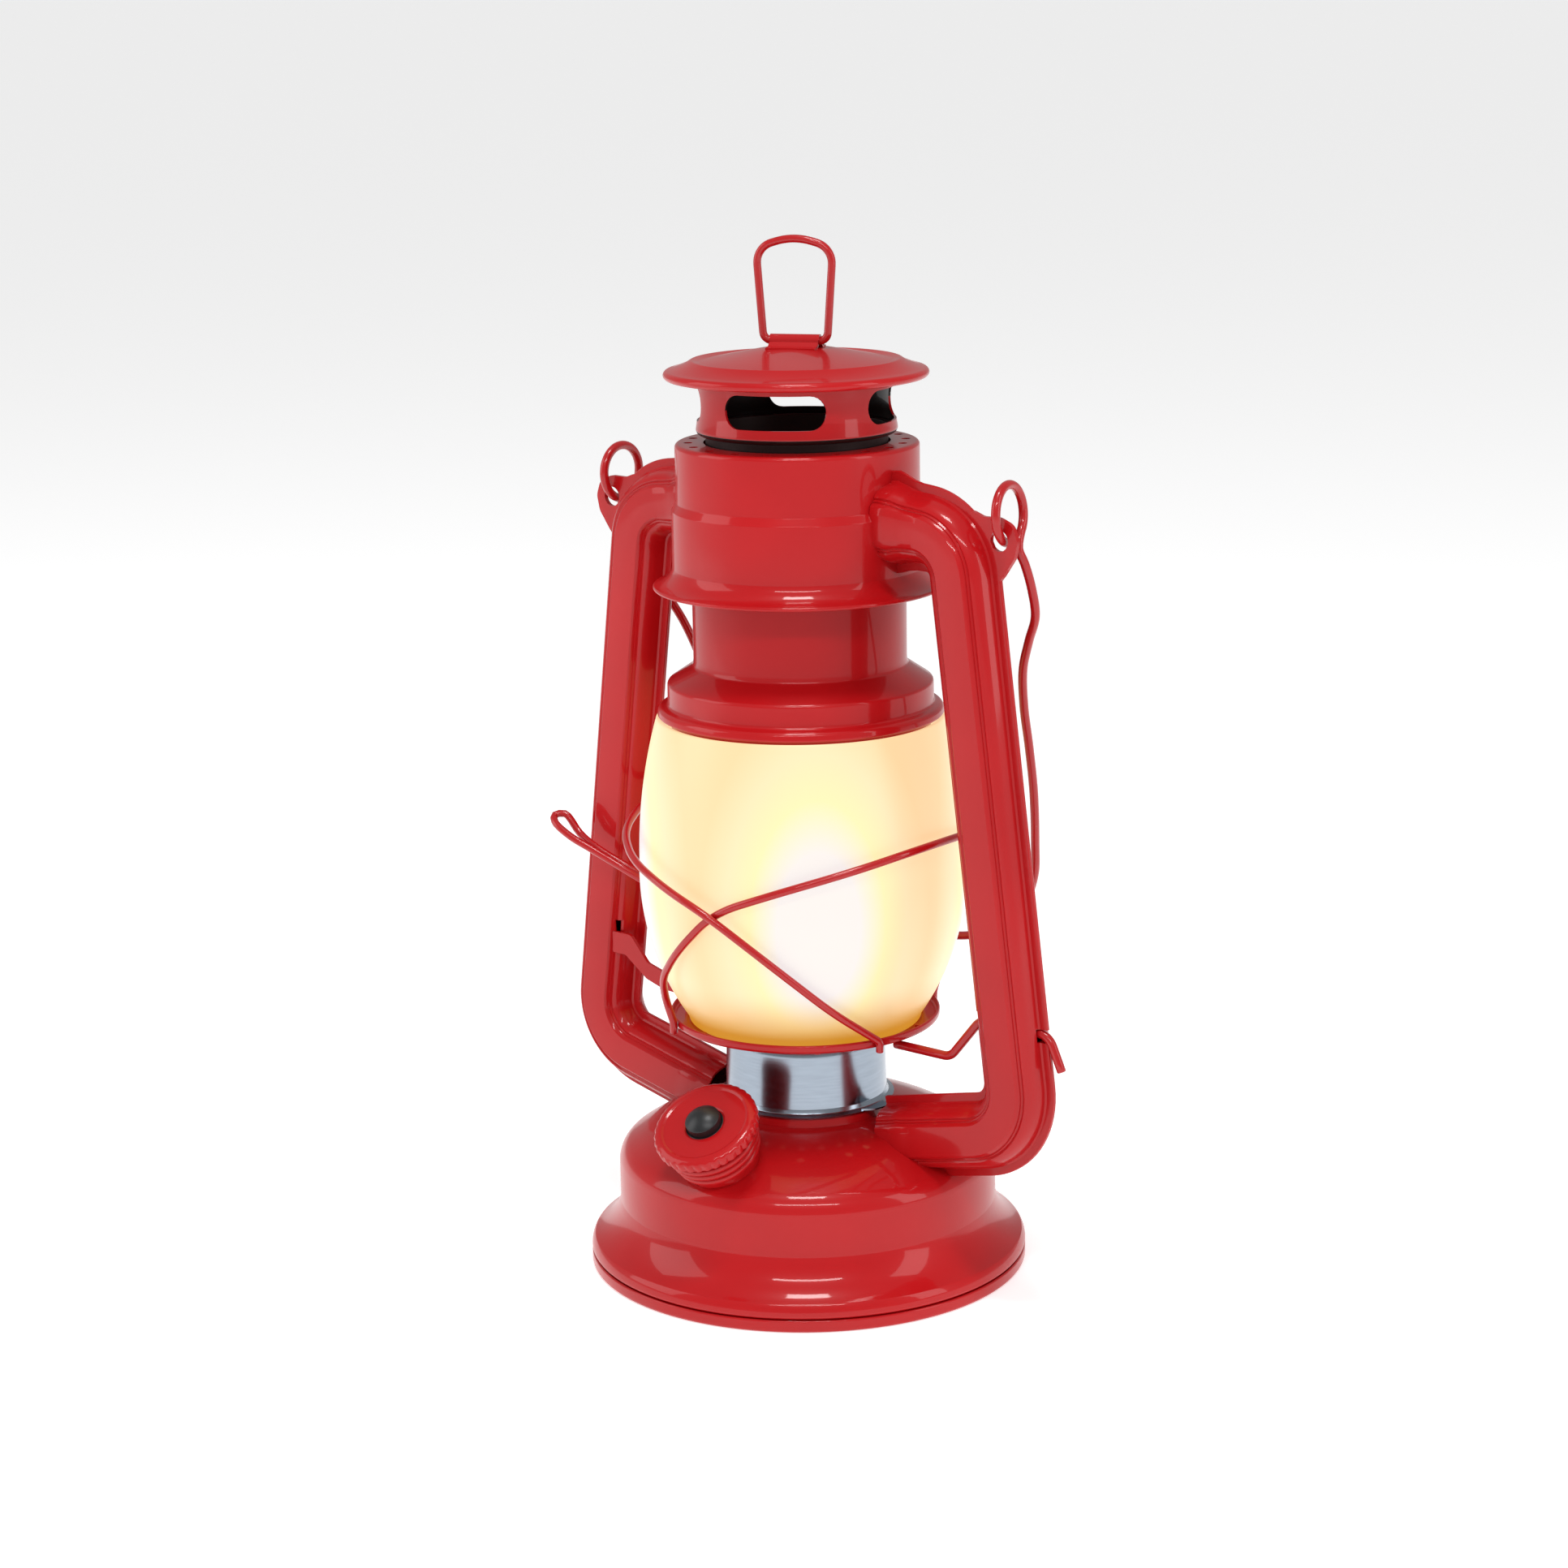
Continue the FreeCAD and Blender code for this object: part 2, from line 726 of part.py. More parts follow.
def plate_arm():
    """A flat strip from the plate rim into the slot of the left tube, which guides the globe."""
    foot = arm_slot_floor.value + 0.3
    head = foot + arm_height.value
    rim = math.sqrt(plate_radius.value ** 2 - arm_offset.value ** 2) + 0.05
    floor = plate_floor.value
    corners = [
        (-62.0, foot),
        (-57.5, foot),
        (-50.0, floor + 3.0),
        (-44.0, floor + 1.2),
        (-rim, floor + 0.6),
        (-rim, floor + plate_rim.value),
        (-43.0, floor + 5.6),
        (-49.5, floor + 7.4),
        (-55.5, head),
        (-62.0, head),
    ]
    points = [V(x, arm_offset.value - 0.5, z) for x, z in corners]
    face = Part.Face(Part.makePolygon(points + points[:1]))
    node("plate_arm", solid("PlateArm", face.extrude(V(0, 1.0, 0))))


def lift_lever():
    """A bent wire through the right tube: pressed down outside, it lifts the globe plate."""
    low = plate_floor.value - bail_wire.value - 0.3
    pivot = lever_height.value
    points = [
        V(lever_foot.value, 0, low),
        V(47.5, 0, low),
        V(57.0, 0, pivot),
        V(78.6, 0, pivot),
        V(82.6, 0, pivot - 8.5),
    ]
    rod = wire_rod(bent_path(points, [6.0, 6.0, 3.0]), bail_wire.value)
    node("lift_lever", solid("LiftLever", rod))


# ---- side tubes ---------------------------------------------------------------------------------
def tube_path(side):
    """The middle line of one side tube, from inside the hood down into the dome."""
    lean = (tube_corner_low.value - tube_corner_top.value) / (tube_top.value - tube_low.value)
    run = tube_run.value
    drop = math.radians(tube_drop.value)
    low_x = tube_corner_low.value
    low_z = tube_low.value
    points = [
        V(side * 22.0, 0, tube_top.value),
        V(side * (tube_corner_top.value + lean), 0, tube_top.value),
        V(side * low_x, 0, low_z),
        V(side * (low_x - run * math.cos(drop)), 0, low_z - run * math.sin(drop)),
    ]
    return bent_path(points, tube_bend.value)


def channel(front):
    """The section of one stamped half tube where its path starts: s runs up, y out of plane."""
    half = tube_half_width.value
    flange = half + flange_width.value
    thick = flange_thick.value
    deep = tube_depth.value
    outer = [(flange, 0), (flange, thick), (half, thick), (half - 0.7, deep * 0.62), (half - 3.4, deep)]
    inner_half = half - thick
    inner = [(inner_half, 0), (inner_half - 0.7, deep * 0.6), (inner_half - 3.0, deep - thick)]
    ring = outer + [(-s, y) for s, y in reversed(outer)]
    ring += [(-s, y) for s, y in inner] + [(s, y) for s, y in reversed(inner)]
    return [(s, y * front) for s, y in ring]


def ear_plate(side, front):
    """The lug on the outer flange that carries one end of the bail."""
    thick = flange_thick.value
    reach = ear_reach.value
    height = ear_height.value
    upper = [(-12.0, 0), (-12.0, 6.6), (-3.0, 5.4), (3.0, 4.6)]
    lower = [(5.5, 0), (4.4, -4.6), (2.6, -14.0), (-3.0, -10.0)]
    corners = upper + lower
    points = [V(side * (reach + dx), 0, height + dz) for dx, dz in corners]
    face = Part.Face(Part.makePolygon(points + points[:1]))
    plate = face.extrude(V(0, thick * front, 0))
    middle = V(side * reach, 0, height)
    plate = plate.fuse(Part.makeCylinder(ear_radius.value, thick, middle, V(0, front, 0)))
    return plate, middle


def tube_half(side, front):
    path = tube_path(side)
    start = path.Edges[0].valueAt(path.Edges[0].FirstParameter)
    points = [V(start.x, y, start.z + s) for s, y in channel(front)]
    section = Part.Wire(Part.makePolygon(points + points[:1]).Edges)
    shell = path.makePipeShell([section], True, True, 2)
    if shell.Volume < 0:
        shell.reverse()
    plate, hole = ear_plate(side, front)
    room = tube_body_room(side)
    shell = shell.fuse(plate.cut(room))
    bore = Part.makeCylinder(ear_hole.value, 4.0, hole - V(0, 2.0, 0), V(0, 1, 0))
    shell = shell.cut(bore)
    if side > 0:
        shell = shell.cut(lever_notch())
    if side < 0 and front < 0:
        shell = shell.cut(arm_slot())
    return shell


def tube_body_room(side):
    """The hollow of one side tube, kept clear of the ear."""
    half = tube_half_width.value - 0.3
    path = tube_path(side)
    start = path.Edges[0].valueAt(path.Edges[0].FirstParameter)
    spots = [(half, -5.0), (half, 5.0), (-half, 5.0), (-half, -5.0)]
    points = [V(start.x, y, start.z + s) for s, y in spots]
    section = Part.Wire(Part.makePolygon(points + points[:1]).Edges)
    room = path.makePipeShell([section], True, True, 2)
    if room.Volume < 0:
        room.reverse()
    return room


def lever_notch():
    """The opening through both flanges of the right tube for the lever to rock in."""
    wide = bail_wire.value + 0.5
    tall = bail_wire.value + 2.2
    corner = V(lever_pivot.value - 15.0, -wide, lever_height.value - tall)
    return Part.makeBox(30.0, 2 * wide, 2 * tall, corner)


def arm_slot():
    """The slot in the left tube where the plate arm slides up and down."""
    wide = 1.1
    deep = 11.2
    corner = V(-deep - 52.0, arm_offset.value - wide, arm_slot_floor.value)
    return Part.makeBox(deep, 2 * wide, arm_slot_height.value, corner)


def side_tubes(hood_plug, fount_trim):
    for side, hand in ((-1, "left"), (1, "right")):
        for front, face in ((-1, "front"), (1, "back")):
            name = hand + "_tube_" + face
            blank = solid(hand.title() + "Tube" + face.title() + "Blank", tube_half(side, front))
            node(name, cut(hand.title() + "Tube" + face.title(), blank, [hood_plug, fount_trim]))


# ---- chimney, hood and crown --------------------------------------------------------------------
def chimney():
    lip = globe_top + seat_gap
    wall = thin_wall
    spigot = globe_mouth - glass_wall - 1.8
    points = [
        (spigot - wall, lip - 3.6),
        (spigot, lip - 3.6),
        (spigot, lip),
        (skirt_lip, lip),
        (skirt_lip, lip + 1.6),
        (skirt_lip - 1.2, lip + 2.9, -1.6),
        (skirt_radius, lip + 2.9),
        (skirt_radius, lip + 8.6),
        (chimney_radius, lip + 13.4),
        (chimney_radius, chimney_top),
        (crown_neck, chimney_top),
        (crown_neck, chimney_top - wall),
        (chimney_radius - wall, chimney_top - wall),
        (chimney_radius - wall, lip + 13.2),
        (spigot - wall, lip + 7.6),
    ]
    node("chimney_bell", turned("ChimneyBell", points))
    points = [
        (crown_neck - wall, chimney_top - 4.0),
        (crown_neck, chimney_top - 4.0),
        (crown_neck, vent_bottom + 1.2),
        (vent_radius - wall - 0.2, vent_bottom + 1.2),
        (vent_radius - wall - 0.2, vent_bottom + 1.9),
        (crown_neck - wall, vent_bottom + 1.9),
    ]
    node("crown_neck", turned("CrownNeck", points))
    bore = crown_neck + crown_clearance
    points = [
        (bore, chimney_top + 0.3),
        (bore + 1.2, chimney_top + 0.3),
        (bore + 1.2, hood_top - thin_wall - 0.2),
        (bore, hood_top - thin_wall - 0.2),
    ]
    node("chimney_spring", turned("ChimneySpring", points))


def hood_profile():
    return [
        (hood_lip, hood_bottom),
        (hood_lip, hood_bottom + 0.8),
        (hood_radius + 1.4, hood_bottom + 2.6, 6.0),
        (hood_radius, hood_bottom + 5.0, 5.0),
        (hood_radius, hood_step - 1.0),
        (hood_radius - hood_inset, hood_step + 1.0),
        (hood_radius - hood_inset, hood_top - 1.6),
        (hood_radius - hood_inset - 1.6, hood_top, -1.7),
    ]


def hood():
    wall = thin_wall
    bore = crown_neck + crown_clearance
    inner = [
        (bore, hood_top),
        (bore, hood_top - wall),
        (hood_radius - hood_inset - 1.7, hood_top - wall),
        (hood_radius - hood_inset - wall, hood_top - 1.7, 1.1),
        (hood_radius - hood_inset - wall, hood_step + 0.8),
        (hood_radius - wall, hood_step - 1.2),
        (hood_radius - wall, hood_bottom + 5.0),
        (hood_radius + 0.6, hood_bottom + 2.4, -5.7),
        (hood_lip - 1.0, hood_bottom, -6.7),
    ]
    shell = turned("HoodDrum", hood_profile() + inner)
    holes = []
    count = 24
    for step in range(count):
        corner = polar(360.0 / count * step + 7.5, 27.2, hood_top.value - 2.0)
        holes.append(cylinder("HoodHole" + str(step), 0.9, 4.0, tuple(corner)))
    node("hood_shell", cut("HoodShell", shell, holes))


def crown():
    """The vent ring with its four slots, the lid, and the folded tab that holds the loop."""
    wall = thin_wall
    taper = 0.5
    ring_top = lid_top - wall - 3.45
    points = [
        (vent_radius - wall, vent_bottom),
        (vent_radius, vent_bottom + 0.3),
        (vent_radius - taper, ring_top),
        (vent_radius - taper - wall, ring_top),
        (vent_radius - wall - 0.1, vent_bottom + 2.0),
    ]
    ring = turned("VentSleeve", points)
    slots = [vent_slot(quarter) for quarter in range(4)]
    node("vent_ring", cut("VentRing", ring, slots))
    rim = 3.2
    points = [
        (0, lid_top - wall),
        (13.0, lid_top - wall - 0.4),
        (lid_radius - 7.3, lid_top - wall - 3.4),
        (lid_radius - 4.3, vent_top + 0.1),
        (lid_radius - 2.0, vent_top - 1.0),
        (lid_radius - 0.6, vent_top - 1.0, -2.2),
        (lid_radius - 0.4, vent_top + rim - 1.2, -2.4),
        (lid_radius - 3.6, vent_top + 2.6, -4.0),
        (lid_radius - 7.2, lid_top - 2.8),
        (13.0, lid_top - 0.4),
        (0, lid_top),
    ]
    node("vent_lid", turned("VentLid", points))
    roll = wire_radius + 0.75
    along = polar(vent_turn.value, 1.0, 0.0)
    turn = FreeCAD.Rotation(UP, along)
    corner = polar(vent_turn.value + 180.0, tab_width.value / 2, loop_axis.value)
    barrel = cylinder("TabBarrel", roll, tab_width, tuple(corner), turn)
    bore = cylinder("TabBore", wire_radius + 0.1, tab_width, tuple(corner), turn)
    node("lid_tab", cut("LidTab", barrel, [bore]))


def vent_slot(quarter):
    """A round-ended opening through the vent ring, as a cutter that follows its curve."""
    radius = vent_radius.value
    half = math.radians(vent_slot_angle.value) / 2
    tall = vent_slot_height.value
    middle = math.radians(vent_turn.value - 90.0 + 90.0 * quarter)
    floor = vent_bottom.value + 2.6
    end = half - tall / 2 / radius
    spread = 2.0 * radius
    wedge = [V(0, 0, floor)]
    for turn in (-end, 0, end):
        wedge.append(V(spread * math.cos(middle + turn), spread * math.sin(middle + turn), floor))
    shape = Part.Face(Part.makePolygon(wedge + wedge[:1])).extrude(V(0, 0, tall))
    for turn in (-end, end):
        way = V(math.cos(middle + turn), math.sin(middle + turn), 0)
        drum = Part.makeCylinder(tall / 2, spread, V(0, 0, floor + tall / 2), way)
        shape = shape.fuse(drum)
    keep = Part.makeCylinder(radius - 6.0, tall + 2.0, V(0, 0, floor - 1.0))
    return solid("VentSlot" + str(quarter), shape.cut(keep))


def lid_loop():
    """A closed wire loop, standing upright in the folded tab."""
    along = polar(vent_turn.value, 1.0, 0.0)
    foot = loop_foot.value / 2
    head = loop_head.value / 2
    top = loop_top.value - wire_radius.value
    base = loop_axis.value
    spots = [(foot, base), (head, top - 2.6), (0.0, top + 0.8), (-head, top - 2.6), (-foot, base)]
    points = [along * s + UP * z for s, z in spots]
    path = bent_path(points, [1.6, 4.5, 26.0, 4.5, 1.6], closed=True)
    node("lid_loop", solid("LidLoop", wire_rod(path, wire_radius.value)))


def bail():
    """The carrying wire, hanging behind the globe from an eye at each end."""
    lean = math.radians(bail_lean.value)
    down = V(0, math.sin(lean), -math.cos(lean))
    hang = V(0, eye_radius.value * 0.5, ear_height.value + eye_radius.value * math.cos(math.radians(30)))
    reach = ear_reach.value
    long = bail_length.value
    start = eye_radius.value - 0.4
    half = [(reach, start), (reach + 2.2, 20.0), (reach - 6.4, 58.0), (reach - 15.6, long)]
    spots = half + [(-x, run) for x, run in reversed(half)]
    points = [hang + V(x, 0, 0) + down * run for x, run in spots]
    bow = 44.0
    radii = [14.0, 30.0, bow, bow, 30.0, 14.0]
    rod = wire_rod(bent_path(points, radii), bail_wire.value)
    for side in (-1, 1):
        eye = Part.makeTorus(eye_radius.value, bail_wire.value, hang + V(side * reach, 0, 0), V(1, 0, 0))
        rod = rod.fuse(eye)
    node("bail", solid("Bail", rod))


# ---- battery compartment ------------------------------------------------------------------------
def battery_box():
    """A moulded tray with a bayonet ring below it, standing on the pan floor."""
    seat = pan_floor + sheet_wall
    inner = box_radius - 2.5
    skin = 1.5
    groove_top = bayonet_height + 3.0
    ring_top = tray_floor + skin
    points = [
        (inner, seat),
        (box_radius + 3.5, seat),
        (box_radius + 3.5, seat + 1.6),
        (box_radius, seat + 1.6),
        (box_radius, ring_top),
        (inner, ring_top),
        (inner, groove_top),
        (inner + 1.4, groove_top),
        (inner + 1.4, bayonet_height),
        (inner, bayonet_height),
    ]
    ring = turned("TrayRing", points)
    half_x = cell_pitch * 1.5 + 0.6
    half_y = cell_length / 2 + contact_room
    low = (-half_x - skin, -half_y - skin, tray_floor)
    outer = block("TrayOuter", low, (half_x + skin, half_y + skin, tray_roof))
    deck = cylinder("TrayDeck", inner + 0.5, skin, (0, 0, tray_floor))
    low = (-half_x, -half_y, bayonet_height)
    pocket = block("TrayPocket", low, (half_x, half_y, tray_roof - skin))
    body = fuse("TrayBody", [ring, outer, deck])
    node("battery_box", cut("BatteryBox", body, [pocket]))


def cell_outline():
    """One cell: the can and its raised contact."""
    can_end = cell_length - 1.2
    stud = 2.7
    can = [(0, 0), (cell_radius, 0), (cell_radius, can_end)]
    return can + [(stud, can_end), (stud, cell_length), (0, cell_length)]


def contact_plate(name, offset, back):
    """A square contact pressed into an end wall of the tray."""
    half = 5.5
    thick = 0.4
    low = (offset - half, back, cell_height - half)
    return block(name, low, (offset + half, back + thick, cell_height + half))


def batteries():
    """Three cells side by side, each with a coned spring behind it and a plate at each end."""
    cells = []
    springs = []
    plates = []
    lie = FreeCAD.Rotation(V(1, 0, 0), -90)
    end = cell_length / 2 + contact_room
    rear = -cell_length / 2 + 1.6
    for index in range(3):
        offset = cell_pitch * (index - 1)
        cell = turned("Cell" + str(index), cell_outline())
        place(cell, (offset, rear, cell_height), lie)
        cells.append(cell)
        plates.append(contact_plate("RearPlate" + str(index), offset, -end))
        plates.append(contact_plate("FrontPlate" + str(index), offset, end - 0.4))
        spring = DOC.addObject("Part::Cone", "ContactSpring" + str(index))
        bind(spring, "Radius1", 4.2)
        bind(spring, "Radius2", 2.6)
        bind(spring, "Height", rear + end - 0.4)
        place(spring, (offset, 0.4 - end, cell_height), lie)
        springs.append(spring)
    node("battery_cells", group("BatteryCells", cells))
    node("contact_springs", group("ContactSprings", springs))
    node("contact_plates", group("ContactPlates", plates))


def battery_cover():
    """The twist-off cover in the underside, with two bayonet lugs and a finger grip."""
    inner = box_radius - 2.5
    under = 0.9
    face = 2.5
    top = 7.6
    step = pan_floor + sheet_wall - 0.3
    points = [
        (0, under),
        (door_hole - 0.5, under),
        (door_hole - 0.5, step),
        (inner - 0.4, step),
        (inner - 0.4, top),
        (inner - 2.0, top),
        (inner - 2.0, face),
        (0, face),
    ]
    disc = turned("CoverDisc", points)
    lugs = []
    long = 2.0
    half = 3.5
    for name, low in (("Right", inner - 1.2), ("Left", 1.2 - long - inner)):
        corner = (low, -half, bayonet_height + 0.4)
        lugs.append(block("CoverLug" + name, corner, (low + long, half, top - 0.1)))
    grips = []
    for name, low in (("Back", 4.0), ("Front", -8.0)):
        grips.append(block("FingerGrip" + name, (-17.0, low, 0), (17.0, low + 4.0, face - 0.6)))
    node("battery_cover", cut("BatteryCover", fuse("CoverBody", [disc] + lugs), grips))


# ---- the assembly -------------------------------------------------------------------------------
def plugs():
    """The filled hood and fount, which the side tubes are trimmed against."""
    hood_points = hood_profile() + [(0, hood_top), (0, hood_bottom)]
    return turned("HoodPlug", hood_points), fount_plug("TubeTrim")


def check_and_export():
    """Stop on any failed object, then write each sub-part to its own file."""
    DOC.recompute()
    for item in DOC.Objects:
        if "Invalid" in item.State or "Error" in item.State:
            raise RuntimeError("failed object: " + item.Name + " " + str(item.State))
    os.makedirs("parts", exist_ok=True)
    for label, item in NODES.items():
        shape = item.Shape
        if shape.isNull() or not shape.isValid() or shape.Volume <= 0:
            raise RuntimeError("bad shape: " + label)
        shape.exportStep("parts/" + label + ".step")
        print(label, len(shape.Solids), round(shape.Volume, 1))


def main():
    base_pan()
    fount_shell()
    filler_cap()
    filler_neck()
    power_switch()
    burner()
    lamp_column()
    globe_plate()
    globe()
    guard_wires()
    thumb_loop()
    plate_arm()
    lift_lever()
    side_tubes(*plugs())
    chimney()
    hood()
    crown()
    lid_loop()
    bail()
    battery_box()
    batteries()
    battery_cover()
    check_and_export()


main()
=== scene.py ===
import json
import math

import bmesh
import bpy
import numpy as np
from mathutils import Matrix, Vector

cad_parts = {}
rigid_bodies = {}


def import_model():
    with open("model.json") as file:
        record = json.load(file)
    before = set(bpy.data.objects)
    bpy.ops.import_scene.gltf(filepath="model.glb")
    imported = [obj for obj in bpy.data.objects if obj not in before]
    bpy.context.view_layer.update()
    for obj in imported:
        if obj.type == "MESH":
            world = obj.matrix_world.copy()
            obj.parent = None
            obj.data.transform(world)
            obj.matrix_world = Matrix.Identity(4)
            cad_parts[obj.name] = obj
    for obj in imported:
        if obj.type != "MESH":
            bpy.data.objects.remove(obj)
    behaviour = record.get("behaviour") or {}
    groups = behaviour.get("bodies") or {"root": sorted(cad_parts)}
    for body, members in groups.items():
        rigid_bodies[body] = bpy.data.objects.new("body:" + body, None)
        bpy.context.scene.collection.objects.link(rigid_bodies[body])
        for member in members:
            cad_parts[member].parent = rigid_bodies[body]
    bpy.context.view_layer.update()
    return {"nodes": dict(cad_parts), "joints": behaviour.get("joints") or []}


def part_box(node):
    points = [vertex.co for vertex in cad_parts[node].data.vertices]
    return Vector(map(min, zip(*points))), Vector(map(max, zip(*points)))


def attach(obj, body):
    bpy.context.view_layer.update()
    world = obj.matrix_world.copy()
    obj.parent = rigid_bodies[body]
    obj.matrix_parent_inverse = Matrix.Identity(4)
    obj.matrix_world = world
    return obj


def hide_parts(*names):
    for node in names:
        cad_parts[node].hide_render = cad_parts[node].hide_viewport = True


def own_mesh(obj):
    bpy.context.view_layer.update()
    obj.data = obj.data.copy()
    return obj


# A battery hurricane lantern: enamelled steel, a frosted globe lit from inside, and bent wire.
# Shapes are worked out in millimetres and scaled to metres when a mesh is made.

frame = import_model()

bl_info = {
    "name": "Hurricane Lantern",
    "version": (1, 0, 0),
    "blender": (4, 5, 0),
    "location": "View3D > Sidebar > Lantern",
    "description": "Builds a battery hurricane lantern piece by piece round its packed frame",
    "category": "Add Mesh",
}

MM = 0.001
TAU = 2 * math.pi
SMOOTH = 35.0  # degrees: an edge sharper than this is shaded as an edge
ROUND_SMOOTH = 60.0


class Span:
    """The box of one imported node, in millimetres."""

    def __init__(self, node):
        low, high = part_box(node)
        self.x0, self.y0, self.z0 = (value / MM for value in low)
        self.x1, self.y1, self.z1 = (value / MM for value in high)


PAN = Span("base_pan")
RING = Span("burner_ring")
COLLAR = Span("burner_collar")
PLATE = Span("globe_plate")
GLOBE = Span("globe")
BELL = Span("chimney_bell")
NECK = Span("crown_neck")
HOOD = Span("hood_shell")
VENT = Span("vent_ring")
LID = Span("vent_lid")
LOOP = Span("lid_loop")
POST = Span("led_post")
COVER = Span("battery_cover")
SPRING = Span("chimney_spring")
LEVER = Span("lift_lever")
ARM = Span("plate_arm")
JOINTS = {joint["name"]: joint for joint in frame["joints"]}

LUG_X = 63.35  # the bail's holes, out from the axis
LUG_Z = 196.0
GUARD_FOOT = 36.05  # where the wires stand on the plate's band, out from the axis
NECK_RADIUS = 22.9
VENT_SLOT = 8.4  # height of each slot in the vent ring


# ---- sizes and colours a user would change ------------------------------------------------------
class LanternSizes(bpy.types.PropertyGroup):
    """Sizes of the finish and of the details that the frame doesn't hold, in millimetres."""

    segments: bpy.props.IntProperty(
        name="Segments", description="Sides of each turned piece", default=192, min=32, max=360)
    wire_sides: bpy.props.IntProperty(
        name="Wire sides", description="Sides of each round wire", default=20, min=8, max=48)
    sheet: bpy.props.FloatProperty(
        name="Sheet", description="Thickness of the stamped sheet", default=0.6, min=0.3, max=1.2)
    hood_holes: bpy.props.IntProperty(
        name="Hood holes", description="Air holes round the top of the hood", default=20, min=8, max=60)
    hood_hole: bpy.props.FloatProperty(
        name="Hood hole", description="Radius of each air hole", default=1.15, min=0.4, max=2.0)
    plate_holes: bpy.props.IntProperty(
        name="Plate holes", description="Air holes in the globe plate", default=16, min=4, max=40)
    cap_scallops: bpy.props.IntProperty(
        name="Cap scallops", description="Finger grips round the filler cap", default=36, min=8, max=80)
    scallop_depth: bpy.props.FloatProperty(
        name="Scallop depth", description="Depth of each finger grip", default=0.45, min=0.0, max=1.5)
    dimples: bpy.props.IntProperty(
        name="Dimples", description="Pressed dimples round the collar", default=8, min=0, max=24)
    spring_turns: bpy.props.IntProperty(
        name="Spring turns", description="Turns of the chimney spring", default=6, min=2, max=16)


class LanternColours(bpy.types.PropertyGroup):
    """Finish colours, as sRGB hex values."""

    enamel: bpy.props.StringProperty(
        name="Enamel", description="Red stoving enamel on the steel", default="B00F14")
    plating: bpy.props.StringProperty(
        name="Plating", description="Zinc plating on the burner collar", default="98A2AE")
    glass: bpy.props.StringProperty(
        name="Glass", description="Frosted glass of the globe", default="8A7858")
    glow_edge: bpy.props.StringProperty(
        name="Glow edge", description="Light on the globe away from its lamps", default="FFD8A4")
    glow_ring: bpy.props.StringProperty(
        name="Glow ring", description="Light round each lamp's bright patch", default="FFF3B8")
    glow_core: bpy.props.StringProperty(
        name="Glow core", description="Light straight in front of a lamp", default="ECEEF6")
    glow_foot: bpy.props.StringProperty(
        name="Glow foot", description="Amber light at the foot of the globe", default="D9981E")
    button: bpy.props.StringProperty(
        name="Button", description="Moulded button and switch", default="17181A")


def sizes():
    return bpy.context.scene.lantern_sizes


def colours():
    return bpy.context.scene.lantern_colours


# ---- outlines -----------------------------------------------------------------------------------
def bend(first, last, radius, steps):
    """Points of an arc from first to last, without first; it bulges left when radius is positive."""
    first = np.array(first, float)
    last = np.array(last, float)
    chord = last - first
    length = np.hypot(*chord)
    across = np.array([-chord[1], chord[0]]) / length * math.copysign(1, radius)
    size = abs(radius)
    rise = math.sqrt(size * size - length * length / 4)
    centre = (first + last) / 2 - across * rise
    half = math.asin(length / 2 / size)
    start = math.atan2(*(first - centre)[::-1])
    turn = -math.copysign(1, radius) * 2 * half / steps
    angles = start + turn * np.arange(1, steps + 1)
    return [tuple(centre + size * np.array([math.cos(a), math.sin(a)])) for a in angles]


def trace(points, steps=10):
    """An open line of (radius, height) points; a third entry bends the side leading to its point."""
    line = [tuple(points[0][:2])]
    for point in points[1:]:
        if len(point) > 2:
            line += bend(line[-1], point[:2], point[2], steps)
        else:
            line.append(tuple(point))
    return line


def soften(line, radius, steps=5, closed=False, least=0.2):
    """Round corners sharper than least radians; radius is one value, or a list with one for each."""
    line = [np.array(point, float) for point in line]
    count = len(line)
    radii = radius if isinstance(radius, list) else [radius] * count
    out = [] if closed else [line[0]]
    for i in range(0 if closed else 1, count if closed else count - 1):
        corner = line[i]
        into = line[i - 1] - corner
        away = line[(i + 1) % count] - corner
        near = np.linalg.norm(into)
        far = np.linalg.norm(away)
        if near < 1e-6 or far < 1e-6:
            continue
        into /= near
        away /= far
        half = math.acos(float(np.clip(into @ away, -1, 1))) / 2
        if math.pi - 2 * half < least or half < 0.02:
            out.append(corner)
            continue
        reach = min(radii[i] / math.tan(half), 0.45 * near, 0.45 * far)
        size = reach * math.tan(half)
        toward = (into + away) / np.linalg.norm(into + away)
        centre = corner + toward * (size / math.sin(half))
        start = corner + into * reach - centre
        end = corner + away * reach - centre
        swing = math.pi - 2 * half
        for k in range(steps + 1):
            t = k / steps
            part = (math.sin((1 - t) * swing) * start + math.sin(t * swing) * end) / math.sin(swing)
            out.append(centre + part)
    if not closed:
        out.append(line[-1])
    return out


def inset(line, wall):
    """The line moved sideways by the wall, to its left."""
    line = np.array(line, float)
    steps = np.diff(line, axis=0)
    sides = np.stack([-steps[:, 1], steps[:, 0]], 1) / np.linalg.norm(steps, axis=1)[:, None]
    before = np.vstack([sides[:1], sides])
    after = np.vstack([sides, sides[-1:]])
    both = before + after
    both /= np.linalg.norm(both, axis=1)[:, None]
    scale = wall / np.clip((both * before).sum(1), 0.5, 1)
    return line + both * scale[:, None]


def skin(points, wall, radius):
    """A closed section: the outer line going up and its copy one wall inside, corners rounded."""
    line = trace(points)
    outer = soften(line, radius)
    inner = soften(inset(line, wall), max(radius - wall, 0.25))
    return outer + inner[::-1]


